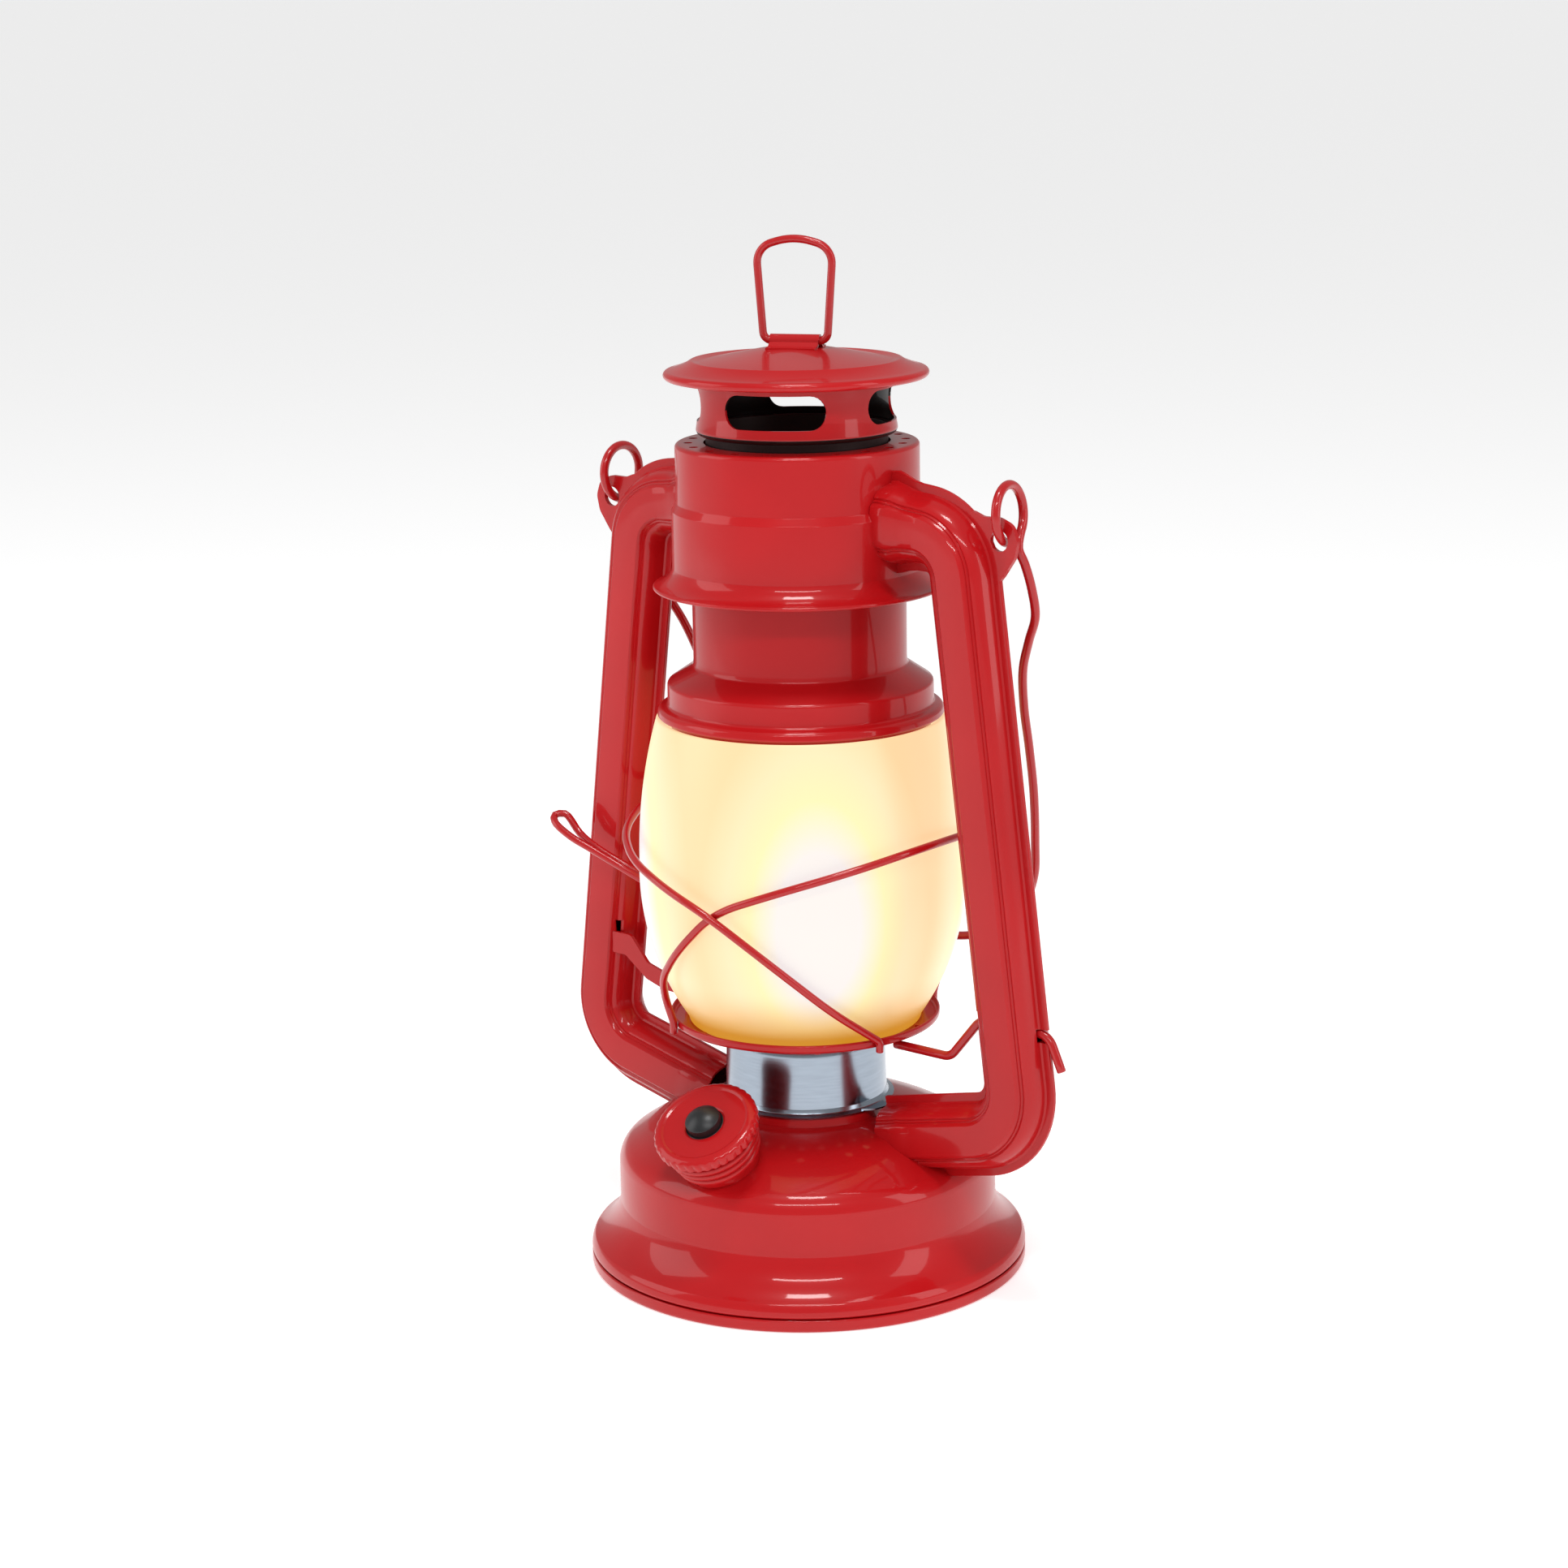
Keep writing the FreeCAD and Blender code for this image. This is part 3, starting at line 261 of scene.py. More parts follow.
# ---- meshes -------------------------------------------------------------------------------------
def make(name, points, faces, material, smooth_angle=SMOOTH):
    """A mesh object at the origin from points in millimetres, with its faces turned outwards."""
    mesh = bpy.data.meshes.new(name)
    mesh.from_pydata([tuple(float(value) * MM for value in point) for point in points], [], faces)
    body = bmesh.new()
    body.from_mesh(mesh)
    bmesh.ops.remove_doubles(body, verts=body.verts, dist=1e-6)
    bmesh.ops.recalc_face_normals(body, faces=body.faces)
    if body.calc_volume(signed=True) < 0:
        bmesh.ops.reverse_faces(body, faces=body.faces)
    body.to_mesh(mesh)
    body.free()
    mesh.materials.append(material)
    mesh.shade_smooth()
    mesh.set_sharp_from_angle(angle=math.radians(smooth_angle))
    piece = bpy.data.objects.new(name, mesh)
    bpy.context.scene.collection.objects.link(piece)
    return piece


def grid_faces(rows, columns, close_rows, close_columns):
    """Quads between rows of points, joined round either way."""
    faces = []
    for i in range(rows if close_rows else rows - 1):
        for j in range(columns if close_columns else columns - 1):
            a, b = i * columns, ((i + 1) % rows) * columns
            k = (j + 1) % columns
            faces.append((a + j, a + k, b + k, b + j))
    return faces


def rod_faces(rows, columns):
    """The faces of a rod: a closed band between its rows, and a cap over each end."""
    first = tuple(range(columns))
    last = tuple((rows - 1) * columns + k for k in reversed(range(columns)))
    return grid_faces(rows, columns, False, True) + [first, last]


def turned(name, section, material, shape=None, smooth_angle=SMOOTH):
    """A section of (radius, height) points turned about Z; shape may move points by their angle."""
    section = np.array(section, float)
    count = sizes().segments
    angles = TAU * np.arange(count) / count
    radii = np.repeat(section[None, :, 0], count, 0)
    heights = np.repeat(section[None, :, 1], count, 0)
    turns = np.repeat(angles[:, None], len(section), 1)
    if shape:
        radii, heights = shape(radii, heights, turns)
    points = np.stack([radii * np.cos(turns), radii * np.sin(turns), heights], 2).reshape(-1, 3)
    faces = grid_faces(count, len(section), True, True)
    return make(name, points, faces, material, smooth_angle)


def join(name, pieces):
    """Several meshes as one object."""
    for piece in bpy.context.scene.objects:
        piece.select_set(piece in pieces)
    bpy.context.view_layer.objects.active = pieces[0]
    bpy.ops.object.join()
    pieces[0].name = name
    return pieces[0]


def seat(piece, middle, turn):
    """Turn a mesh about the origin and move it, leaving its object at the origin."""
    place = Matrix.Translation(Vector(middle) * MM) @ turn.to_4x4()
    piece.data.transform(place)
    piece.data.update()
    return piece


def flow(points, spacing=1.2):
    """A smooth curve through the points, divided evenly (centripetal Catmull-Rom)."""
    points = [np.array(point, float) for point in points]
    points = [2 * points[0] - points[1]] + points + [2 * points[-1] - points[-2]]
    out = []
    for p0, p1, p2, p3 in zip(points, points[1:], points[2:], points[3:]):
        knots = [0.0]
        for a, b in ((p0, p1), (p1, p2), (p2, p3)):
            knots.append(knots[-1] + max(np.linalg.norm(b - a), 1e-4) ** 0.5)
        t0, t1, t2, t3 = knots
        steps = max(2, int(np.linalg.norm(p2 - p1) / spacing))
        for t in np.linspace(t1, t2, steps, endpoint=False):
            a1 = (t1 - t) / (t1 - t0) * p0 + (t - t0) / (t1 - t0) * p1
            a2 = (t2 - t) / (t2 - t1) * p1 + (t - t1) / (t2 - t1) * p2
            a3 = (t3 - t) / (t3 - t2) * p2 + (t - t2) / (t3 - t2) * p3
            b1 = (t2 - t) / (t2 - t0) * a1 + (t - t0) / (t2 - t0) * a2
            b2 = (t3 - t) / (t3 - t1) * a2 + (t - t1) / (t3 - t1) * a3
            out.append((t2 - t) / (t2 - t1) * b1 + (t - t1) / (t2 - t1) * b2)
    out.append(points[-2])
    return out


def divide(line, spacing):
    """The same line with its long runs divided."""
    out = [line[0]]
    for a, b in zip(line, line[1:]):
        steps = max(1, int(np.linalg.norm(b - a) / spacing))
        out += [a + (b - a) * k / steps for k in range(1, steps + 1)]
    return out


def bent(points, radius, steps=8):
    """Straight runs of wire joined by round bends, divided every 2 mm."""
    return divide(soften(points, radius, steps, False, 0.02), 2.0)


def wire(name, path, radius, material, closed=False):
    """Round wire along a path, with its cut ends slightly rounded."""
    path = np.array(path, float)
    count = len(path)
    if closed:
        ahead = np.roll(path, -1, 0) - np.roll(path, 1, 0)
    else:
        ahead = np.gradient(path, axis=0)
    ahead /= np.linalg.norm(ahead, axis=1)[:, None]
    across = np.cross(ahead[0], (0.31, 0.52, 0.79))
    across /= np.linalg.norm(across)
    frames = []
    for i in range(count):
        across = across - ahead[i] * (across @ ahead[i])
        across /= np.linalg.norm(across)
        frames.append((across.copy(), np.cross(ahead[i], across)))
    twist = 0.0
    if closed:
        back = frames[-1][0] - ahead[0] * (frames[-1][0] @ ahead[0])
        twist = -math.atan2(back @ frames[0][1], back @ frames[0][0])
    sides = sizes().wire_sides
    angles = TAU * np.arange(sides) / sides
    rings = []
    for i, (u, v) in enumerate(frames):
        turn = angles + twist * i / count
        rings.append(path[i] + radius * (np.cos(turn)[:, None] * u + np.sin(turn)[:, None] * v))
    if closed:
        faces = grid_faces(count, sides, True, True)
        return make(name, np.concatenate(rings), faces, material, ROUND_SMOOTH)

    def cap(end, way):
        u, v = frames[end]
        spots = []
        for part, depth in ((0.92, 0.12), (0.7, 0.26)):
            middle = path[end] + way * depth * radius * ahead[end]
            spokes = np.cos(angles)[:, None] * u + np.sin(angles)[:, None] * v
            spots.append(middle + radius * part * spokes)
        return spots

    rings = cap(0, -1)[::-1] + rings + cap(-1, 1)
    return make(name, np.concatenate(rings), rod_faces(len(rings), sides), material, ROUND_SMOOTH)


def show(piece, node, body):
    """Let a finished piece stand for a node and ride on its body."""
    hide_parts(node)
    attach(piece, body)


# ---- materials ----------------------------------------------------------------------------------
def linear(code):
    """An sRGB hex value as a linear colour with alpha."""
    parts = [int(code[i:i + 2], 16) / 255 for i in (0, 2, 4)]
    return tuple(v / 12.92 if v <= 0.04045 else ((v + 0.055) / 1.055) ** 2.4 for v in parts) + (1.0,)


def add(tree, kind, links=None, inputs=None, **settings):
    """A node with its settings, its input values and the links into it."""
    item = tree.nodes.new(kind)
    for key, value in settings.items():
        setattr(item, key, value)
    for key, value in (inputs or {}).items():
        item.inputs[key].default_value = value
    for key, source in (links or {}).items():
        tree.links.new(source, item.inputs[key])
    return item


def material(name, **inputs):
    """A material with one Principled shader and the values set on its own sockets."""
    made = bpy.data.materials.new(name)
    made.use_nodes = True
    tree = made.node_tree
    shader = tree.nodes["Principled BSDF"]
    for key, value in inputs.items():
        shader.inputs[key.replace("_", " ")].default_value = value
    place = add(tree, "ShaderNodeTexCoord").outputs["Object"]
    return made, tree, shader, place


def pimple(tree, shader, place, grain, height, detail=2.0, stretch=None):
    """A raised pattern of this grain and height in millimetres, as bump."""
    if stretch:
        place = add(tree, "ShaderNodeMapping", {"Vector": place}, {"Scale": stretch}).outputs[0]
    scale = 1 / (grain * MM)
    noise = add(tree, "ShaderNodeTexNoise", {"Vector": place}, {"Scale": scale, "Detail": detail})
    values = {"Strength": 1.0, "Distance": height * MM}
    bump = add(tree, "ShaderNodeBump", {"Height": noise.outputs["Fac"]}, values)
    tree.links.new(bump.outputs["Normal"], shader.inputs["Normal"])
    return noise


def tint(tree, factor, socket, stops):
    """A colour ramp from a factor into a colour socket."""
    ramp = add(tree, "ShaderNodeValToRGB", {"Fac": factor})
    while len(ramp.color_ramp.elements) < len(stops):
        ramp.color_ramp.elements.new(0.5)
    for element, (place, colour) in zip(ramp.color_ramp.elements, stops):
        element.position = place
        element.color = colour
    tree.links.new(ramp.outputs["Color"], socket)
    return ramp


def mix(tree, factor, colour, ramp, socket):
    """A mix from a fixed colour to a ramp's, by the factor's first output, into a colour socket."""
    links = {0: factor.outputs[0], 7: ramp.outputs["Color"]}
    blend = add(tree, "ShaderNodeMix", links, data_type="RGBA")
    blend.inputs[6].default_value = colour
    tree.links.new(blend.outputs[2], socket)


def shade(code, gain):
    """The same colour, lighter or darker."""
    r, g, b, a = linear(code)
    return (r * gain, g * gain, b * gain, a)


def stoved_enamel(name="Stoved enamel on sheet steel", shaded_inside=False):
    """Stoving enamel sprayed on stamped steel: a wet gloss with a soft, slightly pebbled highlight."""
    made, tree, shader, place = material(
        name, Roughness=0.34, Specular_IOR_Level=0.12, Coat_Weight=0.45, Coat_Roughness=0.06, IOR=1.5)
    cloud = add(tree, "ShaderNodeTexNoise", {"Vector": place}, {"Scale": 1 / (40 * MM), "Detail": 3.0})
    base = colours().enamel
    ramp = tint(tree, cloud.outputs["Fac"], shader.inputs["Base Color"],
                [(0.3, shade(base, 0.92)), (0.7, shade(base, 1.08))])
    # Orange peel about 1.6 mm across and a hundredth high, just enough to break up a highlight.
    pimple(tree, shader, place, 1.6, 0.012)
    if shaded_inside:
        # Faces that look at the axis are painted dark: painted shade inside the ring, where the slots show
        # it.
        facing = add(tree, "ShaderNodeTexCoord").outputs["Normal"]
        outward = add(tree, "ShaderNodeVectorMath", {0: place, 1: facing}, operation="DOT_PRODUCT")
        limits = {1: -12.0 * MM, 2: -8.0 * MM}
        near = add(tree, "ShaderNodeMapRange", {"Value": outward.outputs["Value"]}, limits)
        mix(tree, near, linear("1E1312"), ramp, shader.inputs["Base Color"])
    return made


def dipped_enamel():
    """Thicker enamel dipped on wire: glossier than the sheet, with rare chips to bare steel."""
    made, tree, shader, place = material(
        "Dipped enamel on steel wire", Roughness=0.3, Specular_IOR_Level=0.25, Coat_Weight=0.55,
        Coat_Roughness=0.06, IOR=1.5)
    # Chips under a millimetre wide show as pale specks along the wire.
    chips = add(tree, "ShaderNodeTexNoise", {"Vector": place}, {"Scale": 1 / (2.4 * MM), "Detail": 4.0})
    base = colours().enamel
    tint(tree, chips.outputs["Fac"], shader.inputs["Base Color"],
         [(0.74, shade(base, 0.96)), (0.78, linear("8F8A86"))])
    pimple(tree, shader, place, 1.1, 0.015)
    return made


def zinc_plate():
    """Bright zinc plating on a drawn collar: bluish, with faint turning lines round it."""
    made, tree, shader, place = material(
        "Bright zinc plate on drawn steel", Metallic=1.0, Roughness=0.2)
    base = colours().plating
    # Drawing lines half a millimetre apart run round the collar and blur its reflections sideways.
    lines = pimple(tree, shader, place, 6.0, 0.004, 3.0, (1.0, 1.0, 12.0))
    tint(tree, lines.outputs["Fac"], shader.inputs["Base Color"],
         [(0.3, shade(base, 0.94)), (0.7, shade(base, 1.04))])
    return made


def frosted_glass():
    """Sandblasted soda glass lit from inside: an even warm field with a bright patch at each lamp."""
    made, tree, shader, place = material(
        "Sandblasted soda glass", Roughness=0.42, IOR=1.52, Coat_Weight=0.15, Coat_Roughness=0.3)
    shader.inputs["Base Color"].default_value = linear(colours().glass)
    parts = add(tree, "ShaderNodeSeparateXYZ", {"Vector": place})
    lamp_height = (POST.z0 + POST.z1) / 2 + 8.0
    # The four lamp columns stand on the diagonals, so folding X and Y to one quarter finds them all.
    shift = {"Location": (0.0, 0.0, -lamp_height * MM)}
    moved = add(tree, "ShaderNodeMapping", {"Vector": place}, shift)
    folded = add(tree, "ShaderNodeVectorMath", {0: moved.outputs[0]}, operation="ABSOLUTE")
    squeezed = add(tree, "ShaderNodeVectorMath", {0: folded.outputs[0]}, operation="MULTIPLY")
    squeezed.inputs[1].default_value = (1.0, 1.0, 0.52)
    across = GLOBE.x1 * MM * math.sqrt(0.5)
    away = add(tree, "ShaderNodeVectorMath", {0: squeezed.outputs[0]}, operation="DISTANCE")
    away.inputs[1].default_value = (across, across, 0.0)
    reach = {1: 0.0, 2: 31.0 * MM}
    near = add(tree, "ShaderNodeMapRange", {"Value": away.outputs["Value"]}, reach)
    patch = tint(tree, near.outputs[0], shader.inputs["Emission Color"], [
        (0.34, linear(colours().glow_core)), (0.56, linear(colours().glow_ring)),
        (0.76, linear("FFE8BC")), (1.0, linear(colours().glow_edge))])
    limits = {1: (GLOBE.z0 + 1.0) * MM, 2: (GLOBE.z0 + 17.0) * MM}
    foot = add(tree, "ShaderNodeMapRange", {"Value": parts.outputs["Z"]}, limits)
    foot.interpolation_type = "SMOOTHSTEP"
    mix(tree, foot, linear(colours().glow_foot), patch, shader.inputs["Emission Color"])
    shader.inputs["Emission Strength"].default_value = 0.8
    # Blast pits a third of a millimetre across, drawn a little coarser so that they show.
    pimple(tree, shader, place, 0.6, 0.006)
    return made


def moulded(name, code, roughness, grain=0.5):
    """Moulded plastic with a fine spark-eroded grain: a soft sheen and no sharp reflections."""
    made, tree, shader, place = material(name, Roughness=roughness, IOR=1.48)
    shader.inputs["Base Color"].default_value = linear(code)
    pimple(tree, shader, place, grain, 0.008)
    return made


def spring_steel():
    """Nickel-plated spring wire: a hard bright metal with drawn streaks."""
    made, tree, shader, place = material("Nickel-plated spring steel", Metallic=1.0, Roughness=0.28)
    streaks = pimple(tree, shader, place, 0.8, 0.005)
    tint(tree, streaks.outputs["Fac"], shader.inputs["Base Color"],
         [(0.3, linear("A8A49C")), (0.7, linear("D0CCC4"))])
    return made


def gap_shade_steel():
    """Steel painted near black: painted shade for the gap under the vent ring, with a dull sheen."""
    made, tree, shader, place = material("Steel painted dark as gap shade", Metallic=0.6, Roughness=0.5)
    shader.inputs["Base Color"].default_value = linear("2A1B1B")
    pimple(tree, shader, place, 1.0, 0.01)
    return made


def lamp_lens():
    """Clear epoxy lamp over a warm phosphor: it glows by itself."""
    made, tree, shader, place = material("Warm epoxy lamp", Roughness=0.1, IOR=1.53)
    shader.inputs["Base Color"].default_value = linear("FFE9B8")
    shader.inputs["Emission Color"].default_value = linear("FFD98A")
    shader.inputs["Emission Strength"].default_value = 2.0
    pimple(tree, shader, place, 1.5, 0.002)
    return made


def circuit_board():
    """Solder mask over glass fibre: dark green, with a weave just under the gloss."""
    made, tree, shader, place = material("Solder mask on glass fibre", Roughness=0.3, IOR=1.5)
    weave = {"Scale": 1 / (1.2 * MM), "Distortion": 0.4}
    lines = add(tree, "ShaderNodeTexWave", {"Vector": place}, weave)
    tint(tree, lines.outputs["Fac"], shader.inputs["Base Color"],
         [(0.2, linear("0B3B22")), (0.8, linear("11512F"))])
    return made


def printed_sleeve():
    """Shrunk sleeve on a cell: smooth gloss plastic, dark with a copper-coloured end."""
    made, tree, shader, place = material("Shrunk sleeve on a cell", Roughness=0.25, IOR=1.46)
    parts = add(tree, "ShaderNodeSeparateXYZ", {"Vector": place})
    limits = {1: 8.0 * MM, 2: 9.0 * MM}
    half = add(tree, "ShaderNodeMapRange", {"Value": parts.outputs["Y"]}, limits)
    tint(tree, half.outputs[0], shader.inputs["Base Color"],
         [(0.45, linear("1C2430")), (0.55, linear("B06A34"))])
    return made


FINISHES = {}


def finish(key):
    """Each finish is made once and shared by the pieces that have it."""
    makers = {
        "enamel": stoved_enamel,
        # The vent ring's enamel has painted shade on its inner faces.
        "vent": lambda: stoved_enamel("Stoved enamel, painted shade inside", True),
        "wire": dipped_enamel,
        "zinc": zinc_plate,
        "glass": frosted_glass,
        "spring": spring_steel,
        "black": gap_shade_steel,
        "lamp": lamp_lens,
        "board": circuit_board,
        "sleeve": printed_sleeve,
        "button": lambda: moulded("Moulded black ABS", colours().button, 0.38),
        "tray": lambda: moulded("Moulded black polypropylene", "1B1C1E", 0.5, 0.8),
        "post": lambda: moulded("Moulded white ABS", "ECEAE4", 0.4),
        "lead": lambda: moulded("PVC lead insulation", "2A2A2C", 0.45, 0.4),
    }
    if key not in FINISHES:
        FINISHES[key] = makers[key]()
    return FINISHES[key]


# ---- geometry nodes -----------------------------------------------------------------------------
def node_tree(name, sockets):
    """An empty geometry tree with a Geometry input, named inputs and a Geometry output."""
    tree = bpy.data.node_groups.new(name, "GeometryNodeTree")
    tree.interface.new_socket("Geometry", in_out="INPUT", socket_type="NodeSocketGeometry")
    for label, kind in sockets:
        tree.interface.new_socket(label, in_out="INPUT", socket_type="NodeSocket" + kind)
    tree.interface.new_socket("Geometry", in_out="OUTPUT", socket_type="NodeSocketGeometry")
    start = tree.nodes.new("NodeGroupInput")
    return tree, start


def end_tree(tree, geometry, start):
    """Realize the instances, set the material and end the tree."""
    real = add(tree, "GeometryNodeRealizeInstances", {0: geometry})
    coat = add(tree, "GeometryNodeSetMaterial", {"Geometry": real.outputs[0]})
    tree.links.new(start.outputs["Material"], coat.inputs["Material"])
    add(tree, "NodeGroupOutput", {0: coat.outputs[0]})


def ring_of(tree, start):
    """Instances of the Tool object round a ring, each turned to face outwards."""
    links = {"Vertices": start.outputs["Count"], "Radius": start.outputs["Ring Radius"]}
    circle = add(tree, "GeometryNodeMeshCircle", links)
    lift = add(tree, "ShaderNodeCombineXYZ", {"Z": start.outputs["Height"]})
    ring = add(tree, "GeometryNodeTransform", {0: circle.outputs[0], "Translation": lift.outputs[0]})
    index = add(tree, "GeometryNodeInputIndex")
    step = add(tree, "ShaderNodeMath", {1: start.outputs["Count"]}, {0: TAU}, operation="DIVIDE")
    angle = add(tree, "ShaderNodeMath", {0: index.outputs[0], 1: step.outputs[0]}, operation="MULTIPLY")
    face = add(tree, "ShaderNodeCombineXYZ", {"Z": angle.outputs[0]})
    tool = add(tree, "GeometryNodeObjectInfo", {"Object": start.outputs["Tool"]})
    links = {"Points": ring.outputs[0], "Instance": tool.outputs["Geometry"], "Rotation": face.outputs[0]}
    placed = add(tree, "GeometryNodeInstanceOnPoints", links)
    turn = add(tree, "ShaderNodeCombineXYZ", {"Z": start.outputs["Turn"]})
    return add(tree, "GeometryNodeTransform", {0: placed.outputs[0], "Rotation": turn.outputs[0]})


RING_SOCKETS = [("Tool", "Object"), ("Count", "Int"), ("Ring Radius", "Float"), ("Height", "Float"),
                ("Turn", "Float"), ("Material", "Material")]


def punch_tree():
    """Cuts one tool shape out of a piece at equal steps round a ring."""
    tree, start = node_tree("Ring of punched holes", RING_SOCKETS)
    tools = ring_of(tree, start)
    real = add(tree, "GeometryNodeRealizeInstances", {0: tools.outputs[0]})
    links = {"Mesh 1": start.outputs["Geometry"], "Mesh 2": real.outputs[0]}
    holed = add(tree, "GeometryNodeMeshBoolean", links, operation="DIFFERENCE", solver="EXACT")
    end_tree(tree, holed.outputs[0], start)
    return tree


def stud_tree():
    """Adds one tool shape to a piece at equal steps round a ring."""
    tree, start = node_tree("Ring of studs", RING_SOCKETS)
    tools = ring_of(tree, start)
    both = add(tree, "GeometryNodeJoinGeometry")
    tree.links.new(start.outputs["Geometry"], both.inputs[0])
    tree.links.new(tools.outputs[0], both.inputs[0])
    end_tree(tree, both.outputs[0], start)
    return tree


def coil_tree():
    """Winds a round wire into an open coil with closed ends."""
    sockets = [("Turns", "Float"), ("Coil Radius", "Float"), ("End Radius", "Float"),
               ("Height", "Float"), ("Wire Radius", "Float"), ("Material", "Material")]
    tree, start = node_tree("Coil spring", sockets)
    links = {"Rotations": start.outputs["Turns"], "Start Radius": start.outputs["Coil Radius"],
             "End Radius": start.outputs["End Radius"], "Height": start.outputs["Height"]}
    coil = add(tree, "GeometryNodeCurveSpiral", links, {"Resolution": 40})
    ring = add(tree, "GeometryNodeCurvePrimitiveCircle", {"Radius": start.outputs["Wire Radius"]})
    ring.inputs["Resolution"].default_value = 10
    links = {"Curve": coil.outputs[0], "Profile Curve": ring.outputs[0]}
    solid = add(tree, "GeometryNodeCurveToMesh", links, {"Fill Caps": True})
    smooth = add(tree, "GeometryNodeSetShadeSmooth", {"Geometry": solid.outputs[0]})
    end_tree(tree, smooth.outputs[0], start)
    return tree


TREES = {}


def settle(piece, modifier):
    """Keep what a modifier makes as the piece's plain mesh, and remove the modifier."""
    bpy.context.view_layer.update()
    ready = piece.evaluated_get(bpy.context.evaluated_depsgraph_get())
    mesh = bpy.data.meshes.new_from_object(ready)
    piece.modifiers.remove(modifier)
    piece.data = mesh
    mesh.shade_smooth()
    mesh.set_sharp_from_angle(angle=math.radians(SMOOTH))


def grown(piece, maker, **values):
    """Run a geometry tree on a piece with named inputs and keep the result as a plain mesh."""
    if maker not in TREES:
        TREES[maker] = maker()
    tree = TREES[maker]
    modifier = piece.modifiers.new("Shape", "NODES")
    modifier.node_group = tree
    sockets = {item.name: item.identifier for item in tree.interface.items_tree
               if item.in_out == "INPUT"}
    for label, value in values.items():
        modifier[sockets[label.replace("_", " ")]] = value
    settle(piece, modifier)
    return piece


def empty_piece(name):
    """An object with an empty mesh, for a tree that makes the whole shape."""
    piece = bpy.data.objects.new(name, bpy.data.meshes.new(name))
    bpy.context.scene.collection.objects.link(piece)
    return piece


def drum_tool(name, radius, height):
    """A cylinder with its middle at the origin, used as a cutter or a stud."""
    sides = 24
    angles = TAU * np.arange(sides) / sides
    points = []
    for z in (-height / 2, height / 2):
        points += [(radius * math.cos(a), radius * math.sin(a), z) for a in angles]
    return make(name, points, rod_faces(2, sides), finish("enamel"))


def box_tool(name, low, high):
    """A box between two corners, used as a cutter or a lug."""
    points = []
    for x in (low[0], high[0]):
        points += [(x, y, z) for y in (low[1], high[1]) for z in (low[2], high[2])]
    faces = [(0, 1, 3, 2), (4, 6, 7, 5), (0, 4, 5, 1), (2, 3, 7, 6), (0, 2, 6, 4), (1, 5, 7, 3)]
    return make(name, points, faces, finish("enamel"))


def discard(piece):
    """Remove a tool that has done its work."""
    bpy.data.objects.remove(piece, do_unlink=True)


def pierce(piece, tool):
    """Cut one tool out of a piece and discard the tool."""
    cutter = piece.modifiers.new("Pierce", "BOOLEAN")
    cutter.operation = "DIFFERENCE"
    cutter.object = tool
    settle(piece, cutter)
    discard(tool)


class PieceOperator:
    """What every piece's operator shares."""

    bl_options = {"REGISTER", "UNDO"}

    def execute(self, context):
        self.build()
        return {"FINISHED"}


# ---- base and fount -----------------------------------------------------------------------------
def fount_line():
    """The outside of the fount from its seam on the base up to the collar's seat."""
    foot = PAN.x1
    rim = PAN.z1
    body = foot - 7.85
    return [
        (foot - 1.3, rim - 1.2),
        (foot - 0.9, rim + 0.1),
        (foot, rim + 1.0, -1.4),
        (foot - 0.9, rim + 4.0, -5.0),
        (body + 0.5, 15.0, 14.0),
        (body, 17.0),
        (body, 27.5),
        (body - 3.2, 32.7, -6.5),
        (RING.x1 + 0.6, RING.z0, -60.0),
        (RING.x1 - 5.6, RING.z0),
    ]


class LANTERN_OT_base(PieceOperator, bpy.types.Operator):
    """The base ring: sheet curled round the fount's foot, and the pan inside it"""

    bl_idname = "lantern.base"
    bl_label = "Base ring"

    def build(self):
        foot = PAN.x1
        line = [
            (COVER.x1 + 0.5, 1.6),
            (foot - 3.4, 1.6),
            (foot - 2.0, 0.5, 2.2),
            (foot - 0.9, 0.02, -1.6),
            (foot, 0.9, -1.0),
            (foot, PAN.z1 - 0.5),
            (foot - 0.5, PAN.z1, -0.5),
        ]
        section = skin(line, 0.7, 0.4)
        piece = turned("base_ring", section, finish("enamel"))
        show(piece, "base_pan", "frame")


class LANTERN_OT_fount(PieceOperator, bpy.types.Operator):
    """The stamped fount: flared foot, straight body, rolled shoulder and dome"""

    bl_idname = "lantern.fount"
    bl_label = "Fount"

    def build(self):
        line = fount_line()
        section = skin(line, sizes().sheet, 1.0)
        piece = turned("fount", section, finish("enamel"))
        show(piece, "fount_shell", "frame")


# ---- filler cap ---------------------------------------------------------------------------------
CAP_AXIS = -Vector(JOINTS["button_press"]["axis"])


def on_cap(piece):
    """Move a piece turned about +Z on to the cap's axis, with its zero height at the cap's face."""
    low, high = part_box("filler_cap")
    # The box of a tilted disc is centred on the disc, and the face stands this far in front of it.
    forward = 2.9
    middle = (low + high) / 2 / MM + CAP_AXIS * forward
    seat(piece, middle, CAP_AXIS.to_track_quat("Z", "Y").to_matrix())


